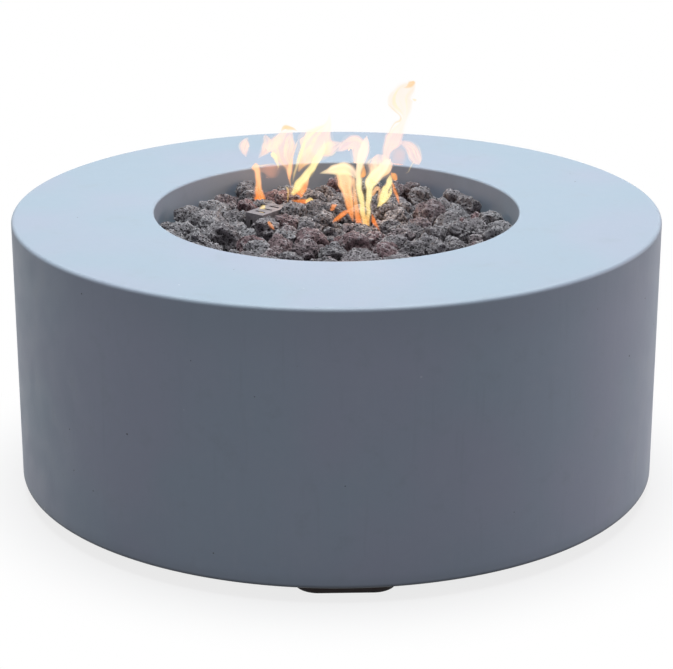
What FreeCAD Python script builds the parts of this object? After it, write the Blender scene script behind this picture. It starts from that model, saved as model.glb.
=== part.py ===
import FreeCAD, Part
import math
import os
import random

# Round gas fire pit table, in millimetres.
# The origin is on the ground at the centre of the table. +Z is up, -Y is the plain front,
# and +Y is the back, where the controls are.

Vector = FreeCAD.Vector
along_x = Vector(1, 0, 0)
along_y = Vector(0, 1, 0)
along_z = Vector(0, 0, 1)

# Concrete shell
table_radius = 432.0
shell_height = 356.0
wall = 15.0
deck_thickness = 18.0
deck_edge_round = 5.0
base_edge_round = 3.0
casting_round = 10.0
opening_radius = 244.0
opening_edge_round = 3.0
well_depth = 62.0
well_wall = 14.0
ledge_width = 26.0
ledge_thickness = 16.0
lip_width = 27.0
lip_height = 28.0

# Feet, each screwed up into two brass inserts in a cast lug
foot_names = ("foot_front", "foot_right", "foot_back", "foot_left")
foot_height = 19.0
foot_width = 124.0
foot_depth = 60.0
foot_round = 29.0
foot_setback = 29.0
lug_margin = 12.0
foot_screw_spacing = 56.0
foot_screw_radius = 3.0
foot_screw_length = 30.0
foot_screw_head_radius = 5.5
foot_screw_head_height = 4.0
foot_counterbore_radius = 7.0
foot_counterbore_depth = 8.0
insert_radius = 5.0
insert_length = 20.0

# Control niche in the back of the shell
niche_width = 176.0
niche_height = 104.0
niche_depth = 36.0
niche_round = 8.0
niche_wall = 12.0
niche_rise = 171.0
niche_flange_width = 14.0
niche_flange_thickness = 12.0

# Control panel
panel_thickness = 2.0
panel_gap = 0.8
panel_screw_radius = 2.0
panel_screw_length = 10.0
panel_screw_head_radius = 4.0
panel_screw_head_height = 2.2
control_spacing = 84.0

# Burner pan
pan_sheet = 1.5
pan_depth = 30.0
pan_gap = 2.0
pan_dish_gap = 4.0
pan_bend_round = 6.0
drain_count = 12
drain_radius = 5.0
drain_inset = 22.0
pan_hole_slip = 1.5

# Burner
ring_radius = 148.0
inner_ring_radius = 55.0
ring_tube_radius = 8.0
ring_seam_turn = 2.0
spoke_tube_radius = 6.0
spoke_count = 4
hub_radius = 16.0
nipple_radius = 10.5
nipple_length = 26.0
port_radius = 1.2
port_depth = 3.0
ring_ports = 36
inner_ring_ports = 12
leg_height = 10.0
leg_radius = 6.0
leg_screw_radius = 2.0
leg_screw_length = 8.0
leg_screw_head_radius = 4.0
leg_screw_head_height = 2.5
locknut_flats = 30.0
locknut_thickness = 8.0

# Elbow, air mixer and gas jet, in line under the pan
elbow_radius = 15.0
elbow_drop = 34.0
elbow_reach = 30.0
elbow_bend = 14.0
elbow_bend_radius = 12.5
elbow_collar_length = 11.5
elbow_edge_round = 1.2
socket_depth = 16.0
mixer_neck_radius = 10.4
mixer_bell_radius = 13.0
mixer_bell_wall = 2.0
mixer_bell_start = 40.0
mixer_length = 70.0
mixer_end_wall = 6.0
air_hole_count = 4
air_hole_radius = 4.5
air_hole_inset = 22.0
shutter_length = 20.0
shutter_wall = 1.5
jet_flats = 19.0
jet_length = 14.0
jet_nose_radius = 6.0
jet_nose_length = 16.0
jet_bore_radius = 1.0

# Gas tubes
tube_radius = 5.0
tube_bend = 26.0
tube_turn_start = 190.0
tube_turn_end = 285.0
tube_seat = 7.0
tube_nut_flats = 17.0
tube_nut_length = 10.0
supply_radius = 6.3
supply_bend = 14.0
supply_seat = 7.0

# Gas valve
valve_radius = 14.0
valve_length = 42.0
valve_port_back = 24.0
valve_lug_width = 48.0
valve_lug_height = 22.0
valve_lug_thickness = 10.0
bonnet_thickness = 4.0
valve_screw_spacing = 30.0
valve_screw_radius = 2.0
valve_screw_length = 13.0
valve_screw_head_radius = 3.6
valve_screw_head_height = 2.0
plug_front_radius = 9.0
plug_back_radius = 7.5
plug_length = 30.0
plug_port_radius = 2.5
stem_radius = 4.0
stem_flat = 2.9
stem_in_plug = 11.0
stem_spring_room = 6.0
stem_spring_wire = 0.35
stem_spring_radius = 2.1
stem_spring_turns = 6.5
inlet_boss_radius = 9.5
inlet_boss_reach = 22.0
outlet_boss_radius = 8.5
outlet_boss_reach = 22.0
magnet_radius = 8.0
magnet_length = 20.0
magnet_flats = 19.0
magnet_hex_length = 7.0
magnet_seat = 5.0
thermocouple_nut_flats = 9.0
thermocouple_nut_length = 8.0

# Control knob
knob_travel = 4.0
knob_clear = 1.0
knob_skirt_radius = 22.0
knob_skirt_height = 4.0
knob_body_radius = 17.0
knob_body_height = 11.0
knob_wall = 2.5
knob_boss_radius = 7.5
knob_bar_width = 12.0
knob_bar_height = 11.0
knob_bar_round = 1.5
knob_bar_flat = 0.5
knob_draft = 1.0
stem_hole_slip = 2.0
pointer_width = 1.6
pointer_length = 10.0
pointer_depth = 0.6
pointer_inset = 2.5

# Battery igniter
igniter_radius = 10.9
igniter_flange_radius = 14.0
igniter_flange_thickness = 2.5
igniter_nose_radius = 10.0
igniter_nose_length = 8.0
igniter_end_wall = 6.0
igniter_end_round = 1.0
igniter_nut_flats = 30.0
igniter_nut_thickness = 6.0
battery_radius = 7.15
battery_length = 49.0
battery_button_radius = 2.7
battery_button_height = 1.5
battery_gap = 0.5
battery_inset = 2.5
battery_edge_round = 0.8
cap_radius = 13.5
cap_front = 2.5
cap_round = 2.0
button_radius = 6.0
button_collar_radius = 8.0
button_collar = 2.0
button_travel = 3.0
button_proud = 0.5
contact_spring_room = 3.5
contact_spring_wire = 0.4
contact_spring_radius = 3.6
contact_spring_turns = 3.5
terminal_width = 6.3
terminal_thickness = 0.8
terminal_length = 9.0

# Gas inlet on its bracket
inlet_offset = 42.0
inlet_plate = 2.5
inlet_plate_width = 50.0
inlet_plate_drop = 18.0
inlet_bend = 2.5
inlet_screw_spacing = 20.0
inlet_screw_shift = 2.0
inlet_screw_radius = 2.0
inlet_screw_length = 12.0
inlet_screw_head_radius = 4.0
inlet_screw_head_height = 2.5
flare_radius = 7.94
flare_length = 14.0
flare_chamfer = 1.5
inlet_flats = 19.0
inlet_hex_height = 8.0
inlet_nut_flats = 22.0
inlet_nut_height = 6.0
inlet_top = 17.0

# Ignition set: electrode and thermocouple on a bracket in a wind cage
ignition_angle = 50.9
ignition_spacing = 24.0
ignition_forward = 4.0
bracket_sheet = 1.5
bracket_width = 40.0
bracket_rise = 12.0
bracket_foot = 10.0
bracket_shelf = 14.0
bracket_screw_spacing = 26.0
bracket_screw_radius = 1.5
bracket_screw_length = 6.0
bracket_screw_head_radius = 3.0
bracket_screw_head_height = 2.0
insulator_radius = 3.5
insulator_above = 26.0
insulator_below = 18.0
insulator_round = 1.0
collar_radius = 5.0
collar_height = 3.5
electrode_radius = 1.1
electrode_rise = 6.0
electrode_lean = 8.0
probe_radius = 2.5
probe_above = 36.0
probe_below = 16.0
probe_tip_radius = 1.2
probe_tip_length = 4.0
cage_width = 57.0
cage_depth = 30.0
cage_height = 67.5
cage_sheet = 1.0
cage_ring_gap = 2.0
cage_slot_width = 4.0
cage_slot_low = 22.0
cage_slot_high = 58.0
cage_slot_pitch = 10.0
cage_side_slots = 5
cage_top_slots = 3
cage_top_pitch = 15.0
cage_top_slot_length = 16.0
cage_tab_width = 8.0
cage_tab_length = 4.0

# Leads, each with its turning points kept by hand
lead_radius = 1.25
wire_radius = 1.75
boot_radius = 4.8
boot_length = 22.0
boot_overlap = 10.0
terminal_boot_radius = 4.5
terminal_boot_length = 16.0
lead_run = 42.0

# Lava rock
rock_seed = 11
rock_gap = 0.3
rock_faces = 6
rock_smallest = 15.0
rock_largest = 25.0
rock_spacing = 0.86
rock_tries = 2600
rock_plane_low = 0.88
rock_plane_high = 1.06
rock_corner = 1.3
rock_crown = 19.0
rock_seat = 0.3
smallest_stone = 2500.0

# Screw heads, as shares of the head's radius and height, and the share of a run that a bend may take
screw_crown = 0.75
screw_rim = 0.45
bend_share = 0.45

# Clearances
slip = 0.1
running = 0.05
screw_slip = 0.25

# Heights of the main surfaces
shell_bottom = foot_height
deck_top = shell_bottom + shell_height
ledge_top = deck_top - well_depth
ledge_bottom = ledge_top - ledge_thickness
ledge_inner = opening_radius - ledge_width
pan_bottom = ledge_top - pan_depth
pan_floor = pan_bottom + pan_sheet
dish_radius = ledge_inner - pan_dish_gap
drain_circle = dish_radius - drain_inset
burner_height = pan_floor + leg_height + ring_tube_radius
burner_top = burner_height + ring_tube_radius
elbow_height = pan_bottom - elbow_drop
control_height = shell_bottom + niche_rise

# Planes of the controls, front to back
panel_face = table_radius - niche_depth
panel_back = panel_face - panel_thickness
flange_back = panel_back - niche_flange_thickness
bonnet_back = panel_back - bonnet_thickness
valve_end = bonnet_back - valve_length
port_plane = bonnet_back - valve_port_back
knob_x = -control_spacing / 2
igniter_x = control_spacing / 2
inlet_x = knob_x - inlet_offset
valve_centre = Vector(knob_x, 0.0, control_height)
igniter_centre = Vector(igniter_x, 0.0, control_height)
magnet_end = valve_end + magnet_seat - magnet_length - magnet_hex_length
lead_start = magnet_end - thermocouple_nut_length
stem_bore_depth = stem_in_plug + knob_travel + stem_spring_room
knob_back = panel_face + knob_travel + knob_clear
knob_front = knob_back + knob_body_height + knob_bar_height
nose_end = panel_face + igniter_flange_thickness + igniter_nose_length
battery_front = nose_end - battery_inset
battery_back = battery_front - battery_button_height - battery_length
cap_start = panel_face + igniter_flange_thickness + 3 * slip
button_back = battery_front + contact_spring_room + button_travel
cap_end = button_back + button_collar + 3 * slip + cap_front
igniter_back = battery_back - battery_gap - igniter_end_wall

# Stations along the burner's gas line, measured back from the centre
mixer_start = elbow_reach - socket_depth
mixer_end = mixer_start + mixer_length
air_hole_station = mixer_end - air_hole_inset
jet_end = mixer_end + jet_length
tube_start = jet_end - tube_seat
gas_line = Vector(0, 0, elbow_height)

# Ignition set, with the corners of its cage just inside the burner ring
cage_corner_reach = ring_radius - ring_tube_radius - cage_ring_gap
ignition_radius = math.sqrt(cage_corner_reach ** 2 - (cage_width / 2) ** 2) - cage_depth / 2

# Feet and lugs, measured from the centre
foot_face = table_radius - foot_setback
foot_back_face = foot_face - foot_depth
foot_middle = (foot_face + foot_back_face) / 2
inlet_plate_bottom = control_height - niche_height / 2 - niche_wall - inlet_plate_drop


# General helpers


def on_valve(y):
    # Point on the axis of the knob and the valve.
    return valve_centre + along_y * y


def on_igniter(y):
    return igniter_centre + along_y * y


def corner_arc(corner, back, ahead, reach):
    # Arc that rounds a corner and touches both of its sides at the distance reach.
    half_angle = back.getAngle(ahead) / 2
    radius = reach * math.tan(half_angle)
    depth = radius / math.sin(half_angle) - radius
    middle_way = (back + ahead).normalize()
    return Part.Arc(corner + back * reach, corner + middle_way * depth, corner + ahead * reach).toShape()


def outline(corners, place):
    # Closed outline through (a, b, rounding) corners. Each rounding is an arc tangent to both sides.
    points = [place(a, b) for a, b, _ in corners]
    ends = []
    for index, (_, _, rounding) in enumerate(corners):
        corner = points[index]
        back = (points[index - 1] - corner).normalize()
        ahead = (points[(index + 1) % len(points)] - corner).normalize()
        reach = rounding / math.tan(back.getAngle(ahead) / 2)
        arc = corner_arc(corner, back, ahead, reach) if rounding > 0 else None
        ends.append((corner + back * reach, arc, corner + ahead * reach))
    edges = []
    for index, (_, arc, last) in enumerate(ends):
        if arc:
            edges.append(arc)
        following = ends[(index + 1) % len(ends)][0]
        if (following - last).Length > 1e-6:
            edges.append(Part.LineSegment(last, following).toShape())
    return Part.Wire(edges)


def turned(corners, centre=Vector(0, 0, 0), axis=along_z):
    # Solid of revolution of (radius, distance along the axis, rounding) corners. The axis is square to X.
    def place(radius, distance):
        return centre + along_x * radius + axis * distance

    return Part.Face(outline(corners, place)).revolve(centre, axis, 360)


def prism(corners, place, sweep):
    # Outline extruded along the vector sweep.
    return Part.Face(outline(corners, place)).extrude(sweep)


def on_wall(y, centre_x, centre_z):
    # Places outline points in an upright plane that faces the back.
    def place(a, b):
        return Vector(centre_x + a, y, centre_z + b)

    return place


def on_floor(z):
    # Places outline points in a level plane.
    def place(a, b):
        return Vector(a, b, z)

    return place


def rounded_rectangle(width, height, rounding):
    half_width = width / 2
    half_height = height / 2
    return [
        (-half_width, -half_height, rounding),
        (half_width, -half_height, rounding),
        (half_width, half_height, rounding),
        (-half_width, half_height, rounding),
    ]


def rod(radius, length, base, axis=along_z):
    return Part.makeCylinder(radius, length, base, axis)


def sleeve(outer, inner, length, base, axis=along_z):
    return rod(outer, length, base, axis).cut(rod(inner, length, base, axis))


def hexagon(flats, length, base, axis=along_z, bore=0.0):
    # Hexagonal bar or nut, by its distance across flats. The axis is square to X.
    corner_radius = flats / math.sqrt(3)
    third = axis.cross(along_x)
    points = []
    for step in range(7):
        angle = math.radians(60 * step)
        across = along_x * (corner_radius * math.cos(angle)) + third * (corner_radius * math.sin(angle))
        points.append(base + across)
    body = Part.Face(Part.makePolygon(points)).extrude(axis * length)
    if bore > 0:
        body = body.cut(rod(bore, length, base, axis))
    return body


def pan_screw(radius, length, head_radius, head_height, seat, axis):
    # Screw driven along axis, with its round head standing back from seat.
    corners = [
        (0, -head_height, 0),
        (head_radius * screw_crown, -head_height, 0),
        (head_radius, -head_height * screw_rim, 0),
        (head_radius, 0, 0),
        (radius, 0, 0),
        (radius, length, 0),
        (0, length, 0),
    ]
    return turned(corners, seat, axis)


def around(shape, count, start=0.0):
    # Copies of a shape turned about the table's axis.
    copies = []
    for step in range(count):
        copy = shape.copy()
        copy.rotate(Vector(0, 0, 0), along_z, start + 360.0 * step / count)
        copies.append(copy)
    return copies


def fused(shapes):
    return shapes[0].multiFuse(shapes[1:]).removeSplitter()


def cut_all(body, tools):
    return body.cut(Part.makeCompound(tools))


def rounded_path(points, bend=None):
    # Straight runs joined by tangent arcs. Without a bend, each arc is as large as its two runs allow.
    edges = []
    radii = []
    start = points[0]
    for before, corner, after in zip(points, points[1:], points[2:]):
        back = before - corner
        ahead = after - corner
        reach = bend_share * min(back.Length, ahead.Length)
        back.normalize()
        ahead.normalize()
        half_turn = (math.pi - back.getAngle(ahead)) / 2
        if bend:
            reach = bend * math.tan(half_turn)
        radii.append(round(reach / math.tan(half_turn), 1))
        edges.append(Part.LineSegment(start, corner + back * reach).toShape())
        edges.append(corner_arc(corner, back, ahead, reach))
        start = corner + ahead * reach
    edges.append(Part.LineSegment(start, points[-1]).toShape())
    print("radii of the bends", radii)
    return Part.Wire(edges)


def spring_path(radius, pitch, turns, place):
    # Helix as two tangent arcs for each quarter turn.
    quarters = int(round(4 * turns))
    edges = []
    for step in range(quarters):
        ends = []
        for quarter in (step, step + 1):
            angle = math.pi / 2 * quarter
            a = radius * math.cos(angle)
            b = radius * math.sin(angle)
            point = place(a, b, pitch * quarter / 4)
            ahead = place(a - b, a + b, pitch * quarter / 4 + pitch / (2 * math.pi))
            ends.append((point, (ahead - point).normalize()))
        (first, leaving), (last, arriving) = ends
        span = last - first
        spread = 2 * (1 - leaving.dot(arriving))
        along = span.dot(leaving + arriving)
        reach = (math.sqrt(along * along + spread * span.dot(span)) - along) / spread
        first_corner = first + leaving * reach
        last_corner = last - arriving * reach
        across = (last_corner - first_corner).normalize()
        edges.append(corner_arc(first_corner, -leaving, across, reach))
        edges.append(corner_arc(last_corner, -across, arriving, reach))
    return Part.Wire(edges)


def spring(name, wire, radius, length, turns, start, axis):
    # Coil spring of round wire from start along the axis. Its ends are cut square.
    side = along_x
    third = axis.cross(side)
    pitch = (length - 2 * wire) / turns

    def place(a, b, along):
        return start + side * a + third * b + axis * (along + wire)

    path = spring_path(radius, pitch, turns, place)
    first = path.Edges[0]
    ahead = first.tangentAt(first.FirstParameter)
    section = Part.Wire(Part.Circle(place(radius, 0, 0), ahead, wire).toShape())
    coil = path.makePipeShell([section], True, False)
    print(name, "least gap between its turns", round(pitch - 2 * wire, 2))
    return coil


def tube_along(name, points, radius, bend=None):
    print(name)
    path = rounded_path(points, bend)
    direction = (points[1] - points[0]).normalize()
    section = Part.Wire(Part.Circle(points[0], direction, radius).toShape())
    tube = path.makePipeShell([section], True, False)
    expected = math.pi * radius * radius * path.Length
    print("length", round(path.Length, 1))
    print("volume over section times length", round(tube.Volume / expected, 4))
    return tube


def save(name, shape):
    solids = shape.Solids
    sound = all(solid.isValid() and solid.Volume > 0 for solid in solids)
    print(name, len(solids), "solid(s)", "sound" if sound else "NOT SOUND")
    kept = solids[0] if len(solids) == 1 else Part.makeCompound(solids)
    kept.exportStep(os.path.join("parts", name + ".step"))


# Concrete shell


def foot_lug():
    # Block cast inside the bottom edge, which a foot is screwed up against.
    half_width = foot_width / 2 + lug_margin
    inner = foot_back_face - lug_margin
    corners = [
        (-half_width, -inner, foot_round),
        (-half_width, -table_radius, 0),
        (half_width, -table_radius, 0),
        (half_width, -inner, foot_round),
    ]
    block = prism(corners, on_floor(shell_bottom), along_z * lip_height)
    return block.common(rod(table_radius - wall / 2, lip_height, along_z * shell_bottom))


def niche_block():
    # Walls cast behind the back opening, which hold the control panel.
    width = niche_width + 2 * niche_wall
    height = niche_height + 2 * niche_wall
    corners = rounded_rectangle(width, height, niche_round)
    place = on_wall(flange_back, 0, control_height)
    block = prism(corners, place, along_y * (table_radius - flange_back))
    return block.common(rod(table_radius - wall / 2, deck_top, Vector(0, 0, 0)))


def concrete_shell():
    wall_inner = table_radius - wall
    lip_inner = table_radius - lip_width
    well_outer = opening_radius + well_wall
    lip_top = shell_bottom + lip_height
    deck_bottom = deck_top - deck_thickness
    body = turned([
        (table_radius, shell_bottom, base_edge_round),
        (table_radius, deck_top, deck_edge_round),
        (opening_radius, deck_top, opening_edge_round),
        (opening_radius, ledge_top, 0),
        (ledge_inner, ledge_top, base_edge_round),
        (ledge_inner, ledge_bottom, 0),
        (well_outer, ledge_bottom, 0),
        (well_outer, deck_bottom, casting_round),
        (wall_inner, deck_bottom, casting_round),
        (wall_inner, lip_top + lip_width - wall, 0),
        (lip_inner, lip_top, 0),
        (lip_inner, shell_bottom, 0),
    ])
    body = fused([body, niche_block()] + around(foot_lug(), len(foot_names)))

    pocket_place = on_wall(panel_back, 0, control_height)
    pocket = prism(
        rounded_rectangle(niche_width, niche_height, niche_round), pocket_place, along_y * table_radius
    )
    window_place = on_wall(flange_back - wall, 0, control_height)
    window = prism(
        rounded_rectangle(
            niche_width - 2 * niche_flange_width, niche_height - 2 * niche_flange_width, niche_round
        ),
        window_place,
        along_y * (niche_flange_thickness + 2 * wall),
    )
    holes = [pocket, window]
    for x, z in panel_screw_places():
        holes.append(rod(panel_screw_radius, panel_screw_length, Vector(x, panel_back, z), -along_y))
    for x in inlet_screw_places():
        seat = Vector(x, flange_back, inlet_screw_height())
        holes.append(rod(inlet_screw_radius, inlet_screw_length, seat, along_y))
    for place in foot_screw_places():
        holes.append(rod(insert_radius + slip, insert_length, place + along_z * shell_bottom))
    return cut_all(body, holes)


# Feet


def foot_screw_places():
    # Screw centres on the ground, for every foot.
    places = []
    for side in (-1, 1):
        mark = Part.Vertex(Vector(side * foot_screw_spacing / 2, -foot_middle, 0))
        places += [copy.Point for copy in around(mark, len(foot_names))]
    return places


def foot():
    corners = rounded_rectangle(foot_width, foot_depth, foot_round)
    pad = prism(corners, on_floor(0), along_z * foot_height)
    pad.translate(Vector(0, -foot_middle, 0))
    holes = []
    for side in (-1, 1):
        centre = Vector(side * foot_screw_spacing / 2, -foot_middle, 0)
        holes.append(rod(foot_counterbore_radius, foot_counterbore_depth, centre))
        holes.append(rod(foot_screw_radius + screw_slip, foot_height, centre))
    return cut_all(pad, holes)


def foot_screws():
    screws = []
    for place in foot_screw_places():
        seat = place + along_z * foot_counterbore_depth
        screws.append(pan_screw(
            foot_screw_radius, foot_screw_length, foot_screw_head_radius,
            foot_screw_head_height, seat, along_z,
        ))
    return Part.makeCompound(screws)


def foot_inserts():
    inserts = []
    for place in foot_screw_places():
        base = place + along_z * shell_bottom
        inserts.append(sleeve(insert_radius, foot_screw_radius + slip, insert_length, base))
    return Part.makeCompound(inserts)


# Control panel


def panel_screw_places():
    x = niche_width / 2 - niche_flange_width / 2
    z = niche_height / 2 - niche_flange_width / 2
    return [(sx * x, control_height + sz * z) for sx in (-1, 1) for sz in (-1, 1)]


def valve_screw_places():
    return [knob_x - valve_screw_spacing / 2, knob_x + valve_screw_spacing / 2]


def control_panel():
    corners = rounded_rectangle(
        niche_width - 2 * panel_gap, niche_height - 2 * panel_gap, niche_round - panel_gap
    )
    plate = prism(corners, on_wall(panel_back, 0, control_height), along_y * panel_thickness)
    holes = [
        rod(stem_radius + stem_hole_slip, panel_thickness, on_valve(panel_back), along_y),
        rod(igniter_radius + slip, panel_thickness, on_igniter(panel_back), along_y),
    ]
    for x, z in panel_screw_places():
        holes.append(rod(panel_screw_radius + screw_slip, panel_thickness, Vector(x, panel_back, z), along_y))
    for x in valve_screw_places():
        seat = Vector(x, panel_back, control_height)
        holes.append(rod(valve_screw_radius + screw_slip, panel_thickness, seat, along_y))
    return cut_all(plate, holes)


def panel_screws():
    return Part.makeCompound([
        pan_screw(
            panel_screw_radius - slip, panel_screw_length, panel_screw_head_radius,
            panel_screw_head_height, Vector(x, panel_face, z), -along_y,
        )
        for x, z in panel_screw_places()
    ])


# Burner pan and burner


def ignition_place(x, y, z=0.0):
    # A point of the ignition set, from x along the burner ring, y outwards and z above the pan floor.
    turn = math.radians(ignition_angle)
    along = Vector(math.cos(turn), math.sin(turn), 0)
    outwards = Vector(-math.sin(turn), math.cos(turn), 0)
    return along * x + outwards * (ignition_radius + y) + along_z * (pan_floor + z)


def at_ignition(shape):
    # Moves a shape made at the origin, with +Y outwards, to the ignition set.
    shape.translate(Vector(0, ignition_radius, pan_floor))
    shape.rotate(Vector(0, 0, 0), along_z, ignition_angle)
    return shape


def leg_angle():
    return 180.0 / spoke_count


def burner_pan():
    flange_radius = opening_radius - pan_gap
    inner_bend = pan_bend_round - pan_sheet
    pan = turned([
        (0, pan_bottom, 0),
        (dish_radius, pan_bottom, pan_bend_round),
        (dish_radius, ledge_top, pan_bend_round - inner_bend),
        (flange_radius, ledge_top, 0),
        (flange_radius, ledge_top + pan_sheet, 0),
        (dish_radius - pan_sheet, ledge_top + pan_sheet, pan_bend_round - pan_sheet),
        (dish_radius - pan_sheet, pan_floor, inner_bend),
        (0, pan_floor, 0),
    ])
    below = Vector(0, 0, pan_bottom)
    holes = [rod(nipple_radius + screw_slip, pan_sheet, below)]
    drain = rod(drain_radius, pan_sheet, below + along_x * drain_circle)
    holes += around(drain, drain_count, 180.0 / drain_count)
    leg_hole = rod(leg_screw_radius + screw_slip, pan_sheet, below + along_x * ring_radius)
    holes += around(leg_hole, spoke_count, leg_angle())
    for side, radius in ((1, insulator_radius + pan_hole_slip), (-1, probe_radius + pan_hole_slip)):
        seat = ignition_place(side * ignition_spacing / 2, ignition_forward, -pan_sheet)
        holes.append(rod(radius, pan_sheet, seat))
    for side in (-1, 1):
        seat = ignition_place(side * bracket_screw_spacing / 2, bracket_screw_line(), -pan_sheet)
        holes.append(rod(bracket_screw_radius + slip, pan_sheet, seat))
        slot = Part.makeBox(
            cage_sheet + 2 * screw_slip, cage_tab_width + 2 * screw_slip, pan_sheet,
            Vector(-cage_sheet / 2 - screw_slip, -cage_tab_width / 2 - screw_slip, -pan_sheet),
        )
        slot.translate(along_x * (side * (cage_width - cage_sheet) / 2))
        holes.append(at_ignition(slot))
    return cut_all(pan, holes)


def ring_tube(radius, tube):
    # Ring of tube round the hub. Its seams lie underneath and between two spokes.
    middle = Vector(radius, 0, burner_height)
    section = Part.Wire(Part.Circle(middle, along_y, tube).toShape())
    section.rotate(middle, along_y, 90)
    ring = Part.Face(section).revolve(Vector(0, 0, burner_height), along_z, 360)
    ring.rotate(Vector(0, 0, 0), along_z, leg_angle() + ring_seam_turn)
    return ring


def burner():
    centre = Vector(0, 0, burner_height)
    rings = [ring_tube(ring_radius, ring_tube_radius), ring_tube(inner_ring_radius, ring_tube_radius)]
    spokes = around(rod(spoke_tube_radius, ring_radius, centre, along_x), spoke_count)
    hub = rod(hub_radius, burner_top - pan_floor, along_z * pan_floor)
    nipple = rod(nipple_radius, nipple_length, along_z * (pan_floor - nipple_length))
    body = fused(rings + spokes + [hub, nipple])
    ports = []
    for radius, count in ((ring_radius, ring_ports), (inner_ring_radius, inner_ring_ports)):
        port = rod(port_radius, 2 * port_depth, Vector(radius, 0, burner_top - port_depth))
        ports += around(port, count, 180.0 / count)
    return cut_all(body, ports)


def burner_legs():
    # Short standoffs, each with its top hollowed to seat the ring.
    leg = rod(leg_radius, leg_height + ring_tube_radius / 2, Vector(ring_radius, 0, pan_floor))
    seat = Part.makeTorus(ring_radius, ring_tube_radius + running, Vector(0, 0, burner_height), along_z)
    hole = rod(leg_screw_radius + slip, leg_screw_length, Vector(ring_radius, 0, pan_floor))
    leg = leg.cut(seat).cut(hole)
    return Part.makeCompound(around(leg, spoke_count, leg_angle()))


def burner_leg_screws():
    screw = pan_screw(
        leg_screw_radius, leg_screw_length, leg_screw_head_radius, leg_screw_head_height,
        Vector(ring_radius, 0, pan_bottom), along_z,
    )
    return Part.makeCompound(around(screw, spoke_count, leg_angle()))


def burner_locknut():
    base = along_z * (pan_bottom - locknut_thickness)
    return hexagon(locknut_flats, locknut_thickness, base, along_z, nipple_radius + slip)


# Gas line under the pan


def elbow_collar(start, axis):
    # Reinforced mouth of the elbow, which ends a collar's length along the axis from start.
    end = elbow_collar_length
    return turned([
        (0, 0, 0),
        (elbow_radius, 0, elbow_edge_round),
        (elbow_radius, end, elbow_edge_round),
        (0, end, 0),
    ], start, axis)


def burner_elbow():
    top = pan_floor - nipple_length + socket_depth
    upper = Vector(0, 0, top - elbow_collar_length)
    outer = gas_line + along_y * (elbow_reach - elbow_collar_length)
    start = Vector(0, 0, top - elbow_edge_round)
    path = rounded_path([start, gas_line, outer + along_y], elbow_bend)
    section = Part.Wire(Part.Circle(start, along_z, elbow_bend_radius).toShape())
    bend = path.makePipeShell([section], True, False)
    body = fused([bend, elbow_collar(upper, along_z), elbow_collar(outer, along_y)])
    sockets = [
        rod(nipple_radius + slip, socket_depth, Vector(0, 0, top - socket_depth)),
        rod(mixer_neck_radius + slip, socket_depth, gas_line + along_y * mixer_start, along_y),
    ]
    return cut_all(body, sockets)


def air_holes(outer):
    hole = rod(air_hole_radius, 2 * outer, Vector(0, air_hole_station, elbow_height))
    copies = []
    for step in range(air_hole_count):
        copy = hole.copy()
        copy.rotate(gas_line, along_y, 360.0 * step / air_hole_count)
        copies.append(copy)
    return copies


def air_mixer():
    # Tube that widens to a bell with air holes, where the jet draws in air.
    bell_bore = mixer_bell_radius - mixer_bell_wall
    neck_bore = mixer_neck_radius - mixer_bell_wall
    bell_at = mixer_bell_start
    body = turned([
        (neck_bore, mixer_start, 0),
        (mixer_neck_radius, mixer_start, 0),
        (mixer_neck_radius, bell_at - mixer_bell_wall, 0),
        (mixer_bell_radius, bell_at, 0),
        (mixer_bell_radius, mixer_end, 0),
        (jet_nose_radius + slip, mixer_end, 0),
        (jet_nose_radius + slip, mixer_end - mixer_end_wall, 0),
        (bell_bore, mixer_end - mixer_end_wall, 0),
        (bell_bore, bell_at + mixer_bell_wall, 0),
        (neck_bore, bell_at, 0),
    ], gas_line, along_y)
    return cut_all(body, air_holes(mixer_bell_radius))


def air_shutter():
    inner = mixer_bell_radius + running
    ring = sleeve(
        inner + shutter_wall, inner, shutter_length,
        gas_line + along_y * (air_hole_station - shutter_length / 2), along_y,
    )
    return cut_all(ring, air_holes(inner + shutter_wall))


def gas_jet():
    hexagonal = hexagon(jet_flats, jet_length, gas_line + along_y * mixer_end, along_y)
    nose_tip = mixer_end - jet_nose_length
    nose = turned([
        (0, nose_tip, 0),
        (jet_nose_radius / 2, nose_tip, 0),
        (jet_nose_radius, nose_tip + jet_nose_radius, 0),
        (jet_nose_radius, mixer_end, 0),
        (0, mixer_end, 0),
    ], gas_line, along_y)
    bores = [
        rod(jet_bore_radius, jet_nose_length, gas_line + along_y * nose_tip, along_y),
        rod(tube_radius + slip, tube_seat, gas_line + along_y * tube_start, along_y),
    ]
    return cut_all(fused([hexagonal, nose]), bores)


def burner_tube_nut():
    return hexagon(tube_nut_flats, tube_nut_length, gas_line + along_y * jet_end, along_y, tube_radius + slip)


def burner_tube():
    outlet_top = control_height + outlet_boss_reach
    points = [
        Vector(0, tube_start, elbow_height),
        Vector(0, tube_turn_start, elbow_height),
        Vector(knob_x, tube_turn_end, elbow_height),
        Vector(knob_x, port_plane, elbow_height),
        Vector(knob_x, port_plane, outlet_top - tube_seat),
    ]
    return tube_along("burner_tube", points, tube_radius, tube_bend)


def valve_outlet_nut():
    base = Vector(knob_x, port_plane, control_height + outlet_boss_reach)
    return hexagon(tube_nut_flats, tube_nut_length, base, along_z, tube_radius + slip)


# Gas valve and knob


def valve_lugs(front, thickness):
    corners = rounded_rectangle(valve_lug_width, valve_lug_height, valve_lug_height / 2)
    return prism(corners, on_wall(front - thickness, knob_x, control_height), along_y * thickness)


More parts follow.
